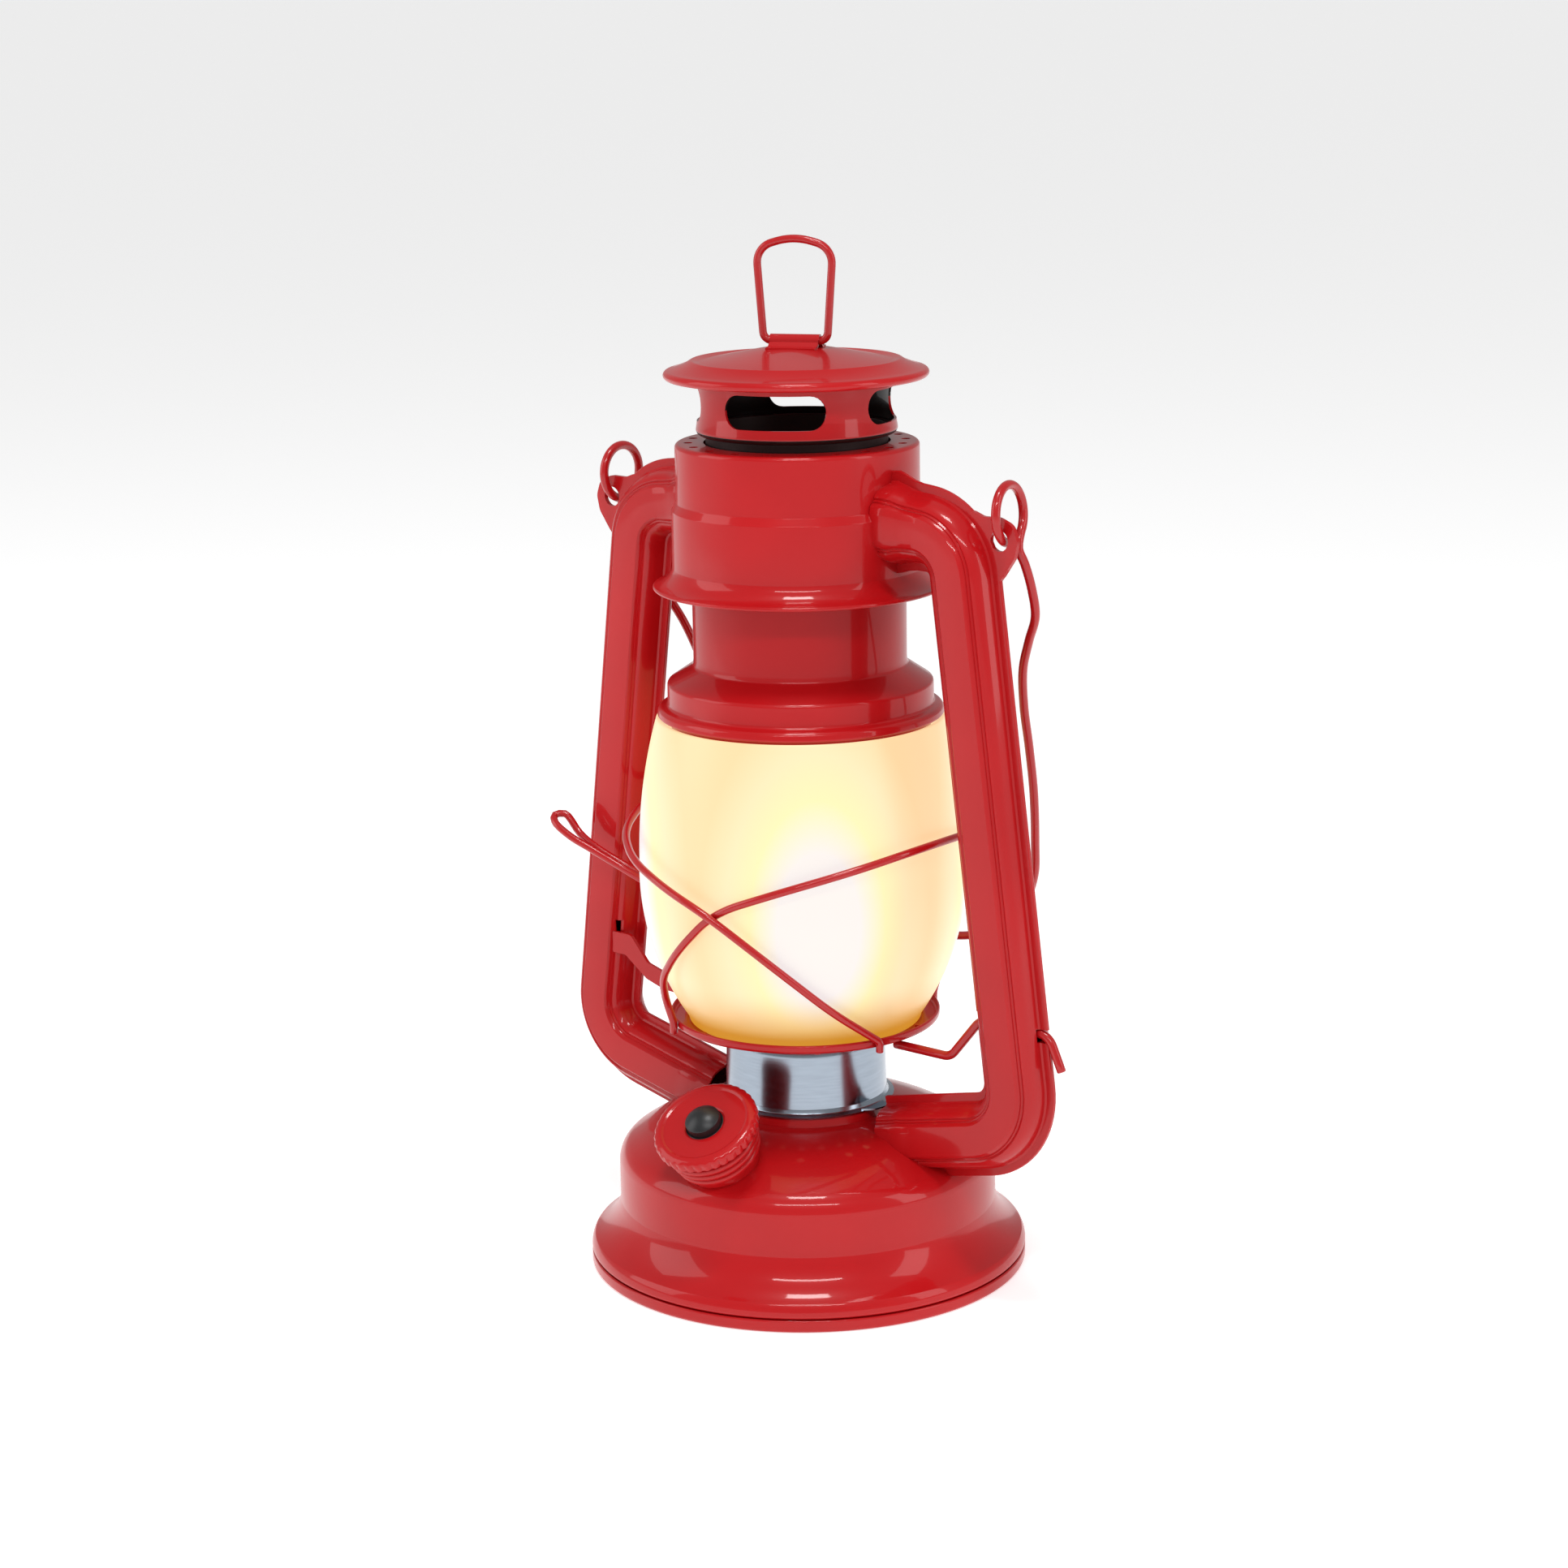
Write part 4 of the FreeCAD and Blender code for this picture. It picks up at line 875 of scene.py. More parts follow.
class LANTERN_OT_cap(PieceOperator, bpy.types.Operator):
    """The filler cap with its scalloped edge, and the ridged neck under it"""

    bl_idname = "lantern.cap"
    bl_label = "Filler cap and neck"

    def build(self):
        outer = 13.8
        hole = 5.0
        skirt = 3.2
        line = [
            (outer - 0.1, -skirt),
            (outer, -1.7),
            (outer - 0.5, -0.8, -1.2),
            (outer - 2.3, -0.25, -3.0),
            (outer - 2.9, -0.55),
            (hole + 0.5, -0.5),
            (hole, -0.75),
        ]
        depth = sizes().scallop_depth
        count = sizes().cap_scallops

        def scallop(radii, heights, turns):
            outside = np.clip((radii - outer + 1.6) / 1.4, 0, 1)
            below = np.clip((-heights - 0.3) / 1.2, 0, 1)
            wave = 1 - np.abs(np.cos(turns * count / 2))
            return radii - depth * wave * outside * below, heights

        cap = turned("filler_cap_shell", skin(line, 0.55, 0.35), finish("enamel"), scallop)
        on_cap(cap)
        show(cap, "filler_cap", "frame")
        self.build_neck()

    def build_neck(self):
        """The neck widens ridge by ridge up to the cap, and ends on the fount's dome."""
        low = -18.0
        pitch = 2.5
        line = [(9.2, low), (9.6, low + 3.2)]
        for ridge in range(3):
            foot = low + 6.2 + pitch * ridge
            radius = 10.4 + 0.6 * ridge
            line += [
                (radius, foot + 0.2),
                (radius + 1.0, foot + 1.2, -0.9),
                (radius + 0.1, foot + 2.2, -0.9),
            ]
        line += [(11.9, -4.0), (12.0, -1.8)]
        neck = turned("filler_neck_ridged", skin(line, 0.7, 0.3), finish("enamel"))
        on_cap(neck)
        inside = trace(fount_line() + [(0.0, RING.z0), (0.0, PAN.z1)])
        trim = turned("fount_trim", inside, finish("enamel"))
        pierce(neck, trim)
        show(neck, "filler_neck", "frame")


class LANTERN_OT_button(PieceOperator, bpy.types.Operator):
    """The domed push button in the cap"""

    bl_idname = "lantern.button"
    bl_label = "Power button"

    def build(self):
        under = -2.0
        ledge = -1.1
        crown = 3.0
        line = [(5.85, under), (5.85, ledge), (4.55, ledge), (4.55, 1.2), (0.6, crown, -6.6), (0.0, crown)]
        section = soften(trace(line), 0.35) + [(0.0, under)]
        piece = turned("power_button_dome", section, finish("button"))
        on_cap(piece)
        show(piece, "power_button", "button")


# ---- burner -------------------------------------------------------------------------------------
class LANTERN_OT_burner(PieceOperator, bpy.types.Operator):
    """The seat ring and the plated collar with pressed dimples and two torn tabs"""

    bl_idname = "lantern.burner"
    bl_label = "Burner collar"
    collar_radius = 21.0

    def build(self):
        wide = RING.x1
        line = [(wide + 0.2, RING.z0), (wide, RING.z0 + 1.2), (wide - 0.4, RING.z1), (wide - 5.5, RING.z1)]
        ring = turned("burner_seat", skin(line, 0.8, 0.3), finish("enamel"))
        show(ring, "burner_ring", "frame")
        parts = [self.build_collar()]
        parts += [self.build_tab(side) for side in (-1, 1)]
        show(join("burner_collar_drawn", parts), "burner_collar", "frame")

    def build_collar(self):
        """The drawn cup, wall dimpled half way up, with a mouth under the globe plate."""
        foot = RING.z1
        top = COLLAR.z1
        shoulder = foot + 18.4
        wide = self.collar_radius
        mouth = 15.0
        line = [
            (wide + 1.9, foot + 0.05),
            (wide + 0.5, foot + 0.5),
            (wide, foot + 1.6),
            (wide - 0.35, shoulder - 3.5),
            (wide - 3.5, shoulder, -3.5),
            (mouth, shoulder + 0.6),
            (mouth, top),
            (4.4, top),
        ]
        count = sizes().dimples
        dimple_radius = 2.4
        dimple_depth = 0.75

        def dimple(radii, heights, turns):
            around = (turns * count / TAU + 0.5) % 1 - 0.5
            across = around * TAU / max(count, 1) * wide / dimple_radius
            along = (heights - foot - 9.5) / dimple_radius
            deep = dimple_depth * np.exp(-(across ** 2 + along ** 2) ** 1.4)
            on_wall = radii > wide - 3.0
            return radii - deep * on_wall, heights

        return turned("burner_collar_drawn", skin(line, 0.5, 0.5), finish("zinc"), dimple)

    def build_tab(self, side):
        """A torn tab of the collar's sheet, ragged along one edge and lifting to its tip."""
        sheet = 0.45
        points = []
        for s, (wide_y, lift) in enumerate(((4.4, 0.1), (3.7, 0.15), (2.9, 0.5), (1.5, 1.1))):
            x = side * (self.collar_radius + 1.0 + 1.7 * s)
            ragged = 0.5 * (s % 2)
            for z in (RING.z1 + lift, RING.z1 + lift + sheet):
                points += [(x, -wide_y + ragged, z), (x, wide_y - ragged * 0.4, z)]
        faces = []
        for s in range(3):
            a, b = 4 * s, 4 * s + 4
            for i, j in ((0, 1), (1, 3), (3, 2), (2, 0)):
                faces.append((a + i, a + j, b + j, b + i))
        faces += [(0, 1, 3, 2), (12, 13, 15, 14)]
        return make("collar_tab", points, faces, finish("zinc"))


# ---- globe carrier ------------------------------------------------------------------------------
class LANTERN_OT_plate(PieceOperator, bpy.types.Operator):
    """The globe plate: a shallow dish with a rolled band, air holes and six globe stops"""

    bl_idname = "lantern.plate"
    bl_label = "Globe plate"

    def build(self):
        wide = 35.0
        floor = PLATE.z0
        line = [
            (15.6, floor + 1.3),
            (15.7, floor + 0.3),
            (17.0, floor),
            (wide - 4.6, floor),
            (wide - 3.4, floor + 0.6, 2.0),
            (wide - 1.4, floor + 0.9),
            (wide, floor + 2.0, -1.2),
            (wide, PLATE.z1 - 0.5),
            (wide - 0.55, PLATE.z1, -0.55),
        ]
        plate = turned("globe_plate_dish", skin(line, 0.6, 0.4), finish("enamel"))
        hole = drum_tool("plate_punch", 1.5, 6.0)
        grown(plate, punch_tree, Tool=hole, Count=sizes().plate_holes, Ring_Radius=24.5 * MM,
              Height=floor * MM, Turn=math.radians(11.25), Material=finish("enamel"))
        discard(hole)
        stop = drum_tool("globe_stop", 0.9, 1.6)
        grown(plate, stud_tree, Tool=stop, Count=6, Ring_Radius=31.9 * MM,
              Height=(floor + 1.1) * MM, Turn=math.radians(15.0), Material=finish("enamel"))
        discard(stop)
        show(plate, "globe_plate", "globe_carrier")


class LANTERN_OT_globe(PieceOperator, bpy.types.Operator):
    """The frosted globe: a blown barrel with fire-polished edges"""

    bl_idname = "lantern.globe"
    bl_label = "Globe"

    def build(self):
        foot = GLOBE.z0
        top = GLOBE.z1
        belly = 109.0
        line = [(30.1, foot), (30.4, foot + 1.6), (GLOBE.x1, belly, -67.0), (36.9, top, -133.0)]
        dense = trace(line, 40)
        glass = 2.0
        inner = [tuple(p) for p in inset(dense, glass)]
        section = soften(dense + inner[::-1], 0.8, 5, closed=True, least=0.8)
        piece = turned("globe_frosted", section, finish("glass"), smooth_angle=ROUND_SMOOTH)
        show(piece, "globe", "globe_carrier")


def guard_route(half_turns):
    """One guard wire by azimuth, radius and height: up over one side and down at the back."""
    rim = GUARD_FOOT
    foot = 67.4
    clear = GLOBE.x1 + 3.9
    high = 118.7
    stations = [
        (-19, rim, PLATE.z0 + 0.3), (-19, rim, foot),
        (-40, rim + 3.6, foot + 10.0), (-60, clear - 2.6, foot + 23.0), (-81, clear + 0.4, high - 15.6),
        (-98, clear + 0.2, high - 10.8), (-119, clear + 0.2, high - 7.0), (-142, clear + 0.3, high - 3.8),
        (-166, clear + 0.2, high - 0.2), (-190, clear + 0.2, high), (-215, clear + 0.1, high - 3.5),
        (-240, clear - 0.4, high - 9.0), (-261, clear - 1.9, high - 15.4),
        (-278, clear - 2.6, foot + 23.5), (-292, clear - 5.0, foot + 14.0), (-300, rim + 2.0, foot + 6.5),
        (-300, rim, foot), (-300, rim, PLATE.z0 + 0.3),
    ]
    points = []
    for azimuth, radius, height in stations:
        turn = math.radians(azimuth + 180.0 * half_turns)
        points.append((radius * math.cos(turn), radius * math.sin(turn), height))
    return points


class LANTERN_OT_guard(PieceOperator, bpy.types.Operator):
    """Two equal guard wires, half a turn apart, ending outside the plate's rim"""

    bl_idname = "lantern.guard"
    bl_label = "Guard wires"

    def build(self):
        for index, node in enumerate(("guard_wire_a", "guard_wire_b")):
            route = bent(guard_route(index), 45.0, 10)
            piece = wire(node + "_bent", route, 1.0, finish("wire"))
            show(piece, node, "globe_carrier")


class LANTERN_OT_thumb(PieceOperator, bpy.types.Operator):
    """The thumb hairpin and the flat arm that slides in the left tube"""

    bl_idname = "lantern.thumb"
    bl_label = "Thumb loop and arm"

    def build(self):
        rim = GUARD_FOOT
        foot = PLATE.z0 + 2.2
        near = 1.02
        upper = [
            (-rim, 5.0, 0.0),
            (-rim - 10.2, 3.0, 21.0),
            (-rim - 11.8, -9.0, 29.5),
            (-rim - 25.0, -13.6, 36.6),
            (-rim - 31.5, -14.2, 39.6),
        ]
        # The two legs run close together and open a little before the tip.
        spreads = [near] * 4 + [near * 1.9]
        legs = [(x, y, foot + z, spread) for (x, y, z), spread in zip(upper, spreads)]
        route = [(x, y - spread, z) for x, y, z, spread in legs]
        route += [
            (-rim - 37.0, -16.0, foot + 42.6),
            (-rim - 38.7, -14.2, foot + 43.9),
            (-rim - 36.6, -12.4, foot + 44.2),
        ]
        route += [(x, y + spread, z) for x, y, z, spread in reversed(legs)]
        piece = wire("thumb_hairpin", flow(route), 1.0, finish("wire"))
        show(piece, "thumb_loop", "globe_carrier")
        self.build_arm()

    def build_arm(self):
        """A flat strip from the plate up to its slot in the left tube."""
        floor = PLATE.z0
        outline = [
            (ARM.x0, ARM.z1 - 5.8),
            (-57.5, ARM.z1 - 5.8),
            (-50.0, floor + 3.0),
            (-44.0, floor + 1.2),
            (ARM.x1, floor + 0.6),
            (ARM.x1, floor + 3.2),
            (-43.0, floor + 5.6),
            (-49.5, floor + 7.4),
            (-55.5, ARM.z1),
            (ARM.x0, ARM.z1),
        ]
        # The end in the slot is cut square; the other corners are sheared round.
        outline = soften(outline, [0.4] + [2.2] * 8 + [0.4], 5, closed=True, least=0.3)
        points = []
        for y in (ARM.y0, ARM.y1):
            points += [(x, y, z) for x, z in outline]
        strip = make("plate_arm_strip", points, rod_faces(2, len(outline)), finish("enamel"))
        show(strip, "plate_arm", "globe_carrier")


class LANTERN_OT_lever(PieceOperator, bpy.types.Operator):
    """The lift lever: wire through the right tube, with its foot under the plate"""

    bl_idname = "lantern.lever"
    bl_label = "Lift lever"

    def build(self):
        pivot = JOINTS["lever_rock"]["pos_m"][2] / MM
        low = LEVER.z0 + 1.15
        route = [
            (30.0, 0, low),
            (47.5, 0, low),
            (57.0, 0, pivot),
            (77.9, 0, pivot),
            (81.8, 0, pivot - 8.5),
        ]
        piece = wire("lift_lever_bent", bent(route, 4.5), 1.15, finish("wire"))
        show(piece, "lift_lever", "lever")


# ---- side tubes ---------------------------------------------------------------------------------
def tube_route(side):
    """The middle line of one side tube in the XZ plane, from the hood down into the dome."""
    drop = math.radians(13.0)
    run = 42.5
    corner = (70.6, 47.7)
    foot = (corner[0] - run * math.cos(drop), corner[1] - run * math.sin(drop))
    points = [(29.6, 197.8), (51.5, 196.3), corner, foot]
    line = divide(soften(points, [0, 20.0, 14.0, 0], 18, False, 0.02), 2.2)
    return np.array([(side * x, 0.0, z) for x, z in line])


def tube_section(front):
    """One half: flange, sharp root, rounded wall, a groove line and the raised panel, in (s, y)."""
    depth = 7.34
    wall = 0.55
    flange = [(10.7, 0.0), (10.75, 0.3), (10.6, 0.6), (8.75, 0.62)]
    cheek = [(8.3, 0.95), (8.1, 1.8), (7.75, 3.3), (7.1, 4.7), (6.35, 5.65), (5.8, 6.0)]
    groove = [(5.35, 5.8), (5.0, 6.3), (4.65, 6.2), (4.3, 6.8)]
    panel = [(3.8, 7.2), (2.2, 7.3), (0.0, depth)]
    outside = flange + cheek + groove + panel
    outside += [(-s, y) for s, y in reversed(outside[:-1])]
    inside = [(7.7, 0.0), (7.5, 1.8), (7.1, 3.2), (6.5, 4.4), (5.6, 5.3), (3.6, 6.4), (0.0, depth - wall)]
    inside = [(-s, y) for s, y in inside] + [(s, y) for s, y in reversed(inside[:-1])]
    return np.array([(s, y * front) for s, y in outside + inside])


def half_tube(name, side, front):
    """Sweep one stamped half along its route, swelling at the hood's socket beads."""
    route = tube_route(side)
    ahead = np.gradient(route, axis=0)
    ahead /= np.linalg.norm(ahead, axis=1)[:, None]
    out_of_plane = np.array((0.0, 1.0, 0.0))
    section = tube_section(front)
    length = np.concatenate([[0], np.cumsum(np.linalg.norm(np.diff(route, axis=0), axis=1))])
    flange = np.abs(section[:, 0]) > 8.6
    rings = []
    for i, point in enumerate(route):
        up = np.cross(out_of_plane, ahead[i]) * side * -1
        along = length[i]
        flare = 1.0 + 0.2 * math.exp(-((along - 2.0) / 4.5) ** 2)
        swell = 1.0
        for bead in (4.7, 8.6):
            swell += 0.05 * math.exp(-((along - bead) / 0.9) ** 2)
        end = length[-1] - along
        swell += 0.05 * math.exp(-((end - 7.0) / 1.3) ** 2)
        y = section[:, 1] * np.where(flange, 1.0, swell * flare)
        s = section[:, 0] * np.where(flange, 1.0, swell) * flare
        rings.append(point + s[:, None] * up + y[:, None] * out_of_plane)
    faces = rod_faces(len(rings), len(section))
    smooth_angle = 40.0
    return make(name, np.concatenate(rings), faces, finish("enamel"), smooth_angle)


def ear(name, side, front):
    """The bail's lug: a rounded plate on the outer flange, with a hole for the bail's eye."""
    top = [(-16.0, 4.0), (-8.5, 6.8), (-5.0, 5.5), (0.0, 5.6)]
    outside = [(4.0, 4.0), (5.4, 0.0), (4.5, -4.0), (1.3, -8.5), (-1.2, -11.5), (-7.0, -13.0)]
    outline = soften(top + outside, 3.4, 6, closed=True)
    thick = 0.62
    points = []
    for y in (0.0, thick * front):
        points += [(side * (LUG_X + x), y, LUG_Z + z) for x, z in outline]
    plate = make(name, points, rod_faces(2, len(outline)), finish("enamel"))
    hole = drum_tool("lug_hole", 2.6, 4.0)
    seat(hole, (side * LUG_X, 0.0, LUG_Z), Matrix.Rotation(math.radians(90), 3, "X"))
    pierce(plate, hole)
    return plate


class LANTERN_OT_tubes(PieceOperator, bpy.types.Operator):
    """The two side tubes, each of two stamped halves with flanges and a lug for the bail"""

    bl_idname = "lantern.tubes"
    bl_label = "Side tubes"

    def build(self):
        for side, hand in ((-1, "left"), (1, "right")):
            for front, face in ((-1, "front"), (1, "back")):
                node = hand + "_tube_" + face
                tube = half_tube(node + "_half", side, front)
                lug = ear(node + "_lug", side, front)
                if side > 0:
                    self.cut_lever_slots(tube)
                if side < 0 and front < 0:
                    self.cut_arm_slot(tube)
                piece = join(node + "_half", [tube, lug])
                show(piece, node, "frame")

    def cut_lever_slots(self, tube):
        """One slot in each wall, with room for the lever to rock."""
        pivot = JOINTS["lever_rock"]["pos_m"][2] / MM
        half = 1.65
        pierce(tube, box_tool("lever_slot", (68.0, -half, pivot - 2.1), (83.0, half, pivot + 1.3)))
        pierce(tube, box_tool("lever_slot", (53.0, -half, pivot - 2.3), (67.9, half, pivot + 2.3)))

    def cut_arm_slot(self, tube):
        """A tall slot in the inner wall, in which the arm rises with the globe."""
        middle = (ARM.y0 + ARM.y1) / 2
        half = 1.1
        pierce(tube, box_tool("arm_slot", (-61.4, middle - half, 72.6), (-52.0, middle + half, 81.9)))


# ---- chimney, hood and crown --------------------------------------------------------------------
class LANTERN_OT_chimney(PieceOperator, bpy.types.Operator):
    """The chimney bell: a lipped skirt over the globe, a shoulder and a straight flue"""

    bl_idname = "lantern.chimney"
    bl_label = "Chimney bell"

    def build(self):
        lip = BELL.z0 + 3.6
        flue = 27.15
        line = [
            (33.1, BELL.z0),
            (33.1, lip + 0.2),
            (36.2, lip),
            (36.6, lip + 0.4),
            (36.4, lip + 1.6),
            (35.3, lip + 2.6, -1.6),
            (33.95, lip + 3.0),
            (33.9, lip + 8.6),
            (flue + 0.2, lip + 13.0),
            (flue, lip + 14.6),
            (flue, BELL.z1),
            (NECK_RADIUS, BELL.z1),
        ]
        piece = turned("chimney_bell_spun", skin(line, 0.6, 1.1), finish("enamel"))
        show(piece, "chimney_bell", "crown")


class LANTERN_OT_hood(PieceOperator, bpy.types.Operator):
    """The hood: a flared lip, a stepped drum and a ring of air holes in its top"""

    bl_idname = "lantern.hood"
    bl_label = "Hood"

    def build(self):
        low = HOOD.z0
        top = HOOD.z1
        wide = 31.9
        step = 199.6
        upper = wide - 1.15
        line = [
            (HOOD.x1 - 0.5, low),
            (HOOD.x1, low + 0.5, -0.5),
            (HOOD.x1 - 0.3, low + 1.0, -0.6),
            (wide + 1.4, low + 2.9, 6.0),
            (wide + 0.1, low + 5.4, 5.0),
            (wide, step - 1.0),
            (upper, step + 0.9),
            (upper, top - 1.1),
            (upper - 1.1, top, -1.1),
            (23.5, top),
        ]
        piece = turned("hood_drum", skin(line, 0.6, 0.45), finish("enamel"))
        hole = drum_tool("hood_punch", sizes().hood_hole, 4.0)
        grown(piece, punch_tree, Tool=hole, Count=sizes().hood_holes, Ring_Radius=27.3 * MM,
              Height=top * MM, Turn=math.radians(6.0), Material=finish("enamel"))
        discard(hole)
        show(piece, "hood_shell", "frame")


def slot_tool():
    """A round-ended slot cutter lying along +X that curves with the vent ring."""
    round_end = VENT_SLOT / 2
    radius = VENT.x1
    sweep = math.radians(62.0)
    ends = sweep / 2 - round_end / radius
    outline = []
    for end in (1, -1):
        for k in range(13):
            t = math.pi * (k / 12 - 0.5) * end
            angle = end * (ends + round_end / radius * math.cos(t))
            outline.append((angle, round_end * math.sin(t)))
    points = []
    for depth in (radius - 5.0, radius + 5.0):
        points += [(depth * math.cos(a), depth * math.sin(a), z) for a, z in outline]
    return make("slot_cutter", points, rod_faces(2, len(outline)), finish("enamel"))


def bridge_ring(name):
    """The vent ring's wall, curled in at its foot and running up under the lid."""
    low = VENT.z0
    top = LID.z1 - 4.2
    wide = VENT.x1
    line = [
        (wide - 2.0, low + 0.1),
        (wide - 1.0, low, 3.0),
        (wide, low + 1.5, -1.4),
        (wide - 0.5, low + 6.0, 30.0),
        (wide - 0.5, low + 10.0),
        (wide - 0.2, top),
    ]
    return turned(name, skin(line, 0.6, 0.4), finish("vent"))


class LANTERN_OT_vent(PieceOperator, bpy.types.Operator):
    """The vent ring with four round-ended slots, and the neck that it stands on"""

    bl_idname = "lantern.vent"
    bl_label = "Vent ring"

    def build(self):
        piece = bridge_ring("vent_ring_slotted")
        tool = slot_tool()
        middle = VENT.z0 + 3.5 + VENT_SLOT / 2
        grown(piece, punch_tree, Tool=tool, Count=4, Ring_Radius=0.0, Height=middle * MM,
              Turn=math.radians(26.0), Material=finish("vent"))
        discard(tool)
        show(piece, "vent_ring", "crown")
        seat_height = NECK.z1 - 0.7
        line = [(NECK_RADIUS, NECK.z0), (NECK_RADIUS, seat_height), (NECK_RADIUS + 1.5, seat_height)]
        # The sleeve is painted near black as painted shade for the gap under the vent ring.
        neck = turned("crown_neck_sleeve", skin(line, 0.6, 0.5), finish("black"))
        show(neck, "crown_neck", "crown")


class LANTERN_OT_spring(PieceOperator, bpy.types.Operator):
    """The coil spring round the crown's neck, under the hood's top"""

    bl_idname = "lantern.spring"
    bl_label = "Chimney spring"

    def build(self):
        piece = empty_piece("chimney_coil")
        thick = 0.6
        middle = SPRING.x1 - thick
        tall = SPRING.z1 - SPRING.z0
        grown(piece, coil_tree, Turns=float(sizes().spring_turns), Coil_Radius=middle * MM,
              End_Radius=middle * MM, Height=(tall - 2 * thick) * MM,
              Wire_Radius=thick * MM, Material=finish("spring"))
        piece.data.transform(Matrix.Translation((0, 0, (SPRING.z0 + thick) * MM)))
        show(piece, "chimney_spring", "frame")
        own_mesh(piece)


class LANTERN_OT_lid(PieceOperator, bpy.types.Operator):
    """The vent lid with its rolled rim, and the folded tab that holds the loop"""

    bl_idname = "lantern.lid"
    bl_label = "Lid and tab"

    def build(self):
        wide = LID.x1
        top = LID.z1 + 0.6
        rim = LID.z0 + 1.1
        ridge = 26.2
        fall = top - 3.1
        sheet = 0.7
        upper = [
            (wide - 3.0, rim + 0.75),
            (wide - 1.9, rim + 0.2),
            (wide - 1.0, rim + 0.3),
            (wide, rim + 1.5, -1.25),
            (wide - 1.2, rim + 2.6, -1.25),
            (wide - 2.6, rim + 3.0),
            (ridge + 1.6, fall - 1.0),
            (ridge, fall),
            (ridge - 2.2, fall - 0.5),
            (9.0, top - 0.7),
            (0.0, top),
        ]
        under = [
            (wide - 2.6, rim + 1.5),
            (wide - 1.4, rim + 1.4),
            (wide - 1.4, rim + 2.0),
            (wide - 2.9, rim + 2.3),
            (ridge + 1.2, fall - 1.6),
            (ridge, fall - sheet),
            (ridge - 2.2, fall - 0.5 - sheet),
            (9.0, top - 0.7 - sheet),
            (0.0, top - sheet),
        ]
        section = soften(trace(upper), 1.1, 6) + soften(under, 0.5)[::-1]
        lid = turned("vent_lid_spun", section, finish("enamel"))
        show(lid, "vent_lid", "crown")
        self.build_tab()

    def build_tab(self):
        """A sheet strap folded over the loop's foot and spread on the lid."""
        height = JOINTS["loop_fold"]["pos_m"][2] / MM
        radius = 1.1
        thick = 0.55
        fold = []
        for k in range(13):
            angle = math.radians(200.0 - 220.0 * k / 12)
            fold.append((radius * math.cos(angle), height + radius * math.sin(angle)))
        left = [(-5.2, LID.z1 - 0.15), (-2.4, LID.z1 + 0.05)]
        right = [(-x, z) for x, z in reversed(left)]
        inner = soften(left + fold + right, 0.5, 4)
        outer = list(inset(inner, thick))
        section = inner + outer[::-1]
        way = Vector(JOINTS["loop_fold"]["axis"])
        side = Vector((-way.y, way.x, 0))
        half = 6.4
        points = []
        stations = (-half, -half + 0.4, half - 0.4, half)
        for s in stations:
            for n, z in section:
                points.append(tuple(way * s + side * n + Vector((0, 0, z))))
        faces = rod_faces(len(stations), len(section))
        tab = make("lid_tab_strap", points, faces, finish("enamel"))
        show(tab, "lid_tab", "crown")


class LANTERN_OT_loop(PieceOperator, bpy.types.Operator):
    """The wire loop that lifts the crown"""

    bl_idname = "lantern.loop"
    bl_label = "Lid loop"

    def build(self):
        way = np.array(JOINTS["loop_fold"]["axis"])
        base = JOINTS["loop_fold"]["pos_m"][2] / MM
        top = LOOP.z1 - 1.0
        foot = 8.25
        shoulder = 9.9
        spots = [(foot, base), (shoulder, top - 2.3), (0.0, top + 0.5)]
        spots += [(-s, z) for s, z in reversed(spots[:-1])]
        line = [way * s + np.array((0, 0, z)) for s, z in spots]
        line = soften(line, [2.3, 5.2, 18.0, 5.2, 2.3], 10, True, 0.02)
        route = []
        for a, b in zip(line, line[1:] + line[:1]):
            steps = max(1, int(np.linalg.norm(b - a) / 2.0))
            route += [a + (b - a) * k / steps for k in range(steps)]
        piece = wire("lid_loop_wire", route, 1.0, finish("wire"), closed=True)
        show(piece, "lid_loop", "loop")


class LANTERN_OT_bail(PieceOperator, bpy.types.Operator):
    """The bail: one wire with a turned eye at each end, hanging behind the globe"""

    bl_idname = "lantern.bail"
    bl_label = "Bail"

    def build(self):
        lean = math.radians(20.0)
        down = np.array((0.0, math.sin(lean), -math.cos(lean)))
        side = np.array((0.0, math.cos(lean), math.sin(lean)))
        hang = np.array(JOINTS["bail_swing"]["pos_m"]) / MM
        reach = LUG_X
        eye = 7.0
        turns = 30
        halves = []
        for hand in (1, -1):
            skew = 0.2 if hand > 0 else 0.0
            ring = []
            for k in range(turns + 1):
                turn = math.radians(22.0 + 11.3 * k)
                across = hand * (reach - 0.45 + 0.9 * (turns - k) / turns) - skew * eye * math.sin(turn)
                spoke = math.cos(turn) * down + math.sin(turn) * side
                ring.append(hang + np.array((across, 0, 0)) + eye * spoke)
            # Each leg, by its place out from the axis and its run down from the lug.
            leg = [
                (reach + 0.4, 9.4),
                (reach + 1.2, 13.5),
                (reach + 1.6, 20.0),
                (reach + 0.8, 28.0),
                (reach - 3.0, 35.5),
                (reach - 6.9, 44.0),
                (reach - 9.4, 55.0),
                (reach - 10.8, 67.0),
                (reach - 12.8, 81.0),
            ]
            bow = 42.0
            for k in range(7):
                turn = math.radians(8.0 + 82.0 * k / 6)
                leg.append((5.5 + bow * math.cos(turn), 133.0 - bow + bow * math.sin(turn)))
            leg = [hang + np.array((hand * x, 0, 0)) + down * run for x, run in leg]
            halves.append(ring[::-1] + leg)
        route = halves[0] + halves[1][::-1]
        piece = wire("bail_wire", flow(route, 1.0), 1.15, finish("wire"))
        show(piece, "bail", "bail")


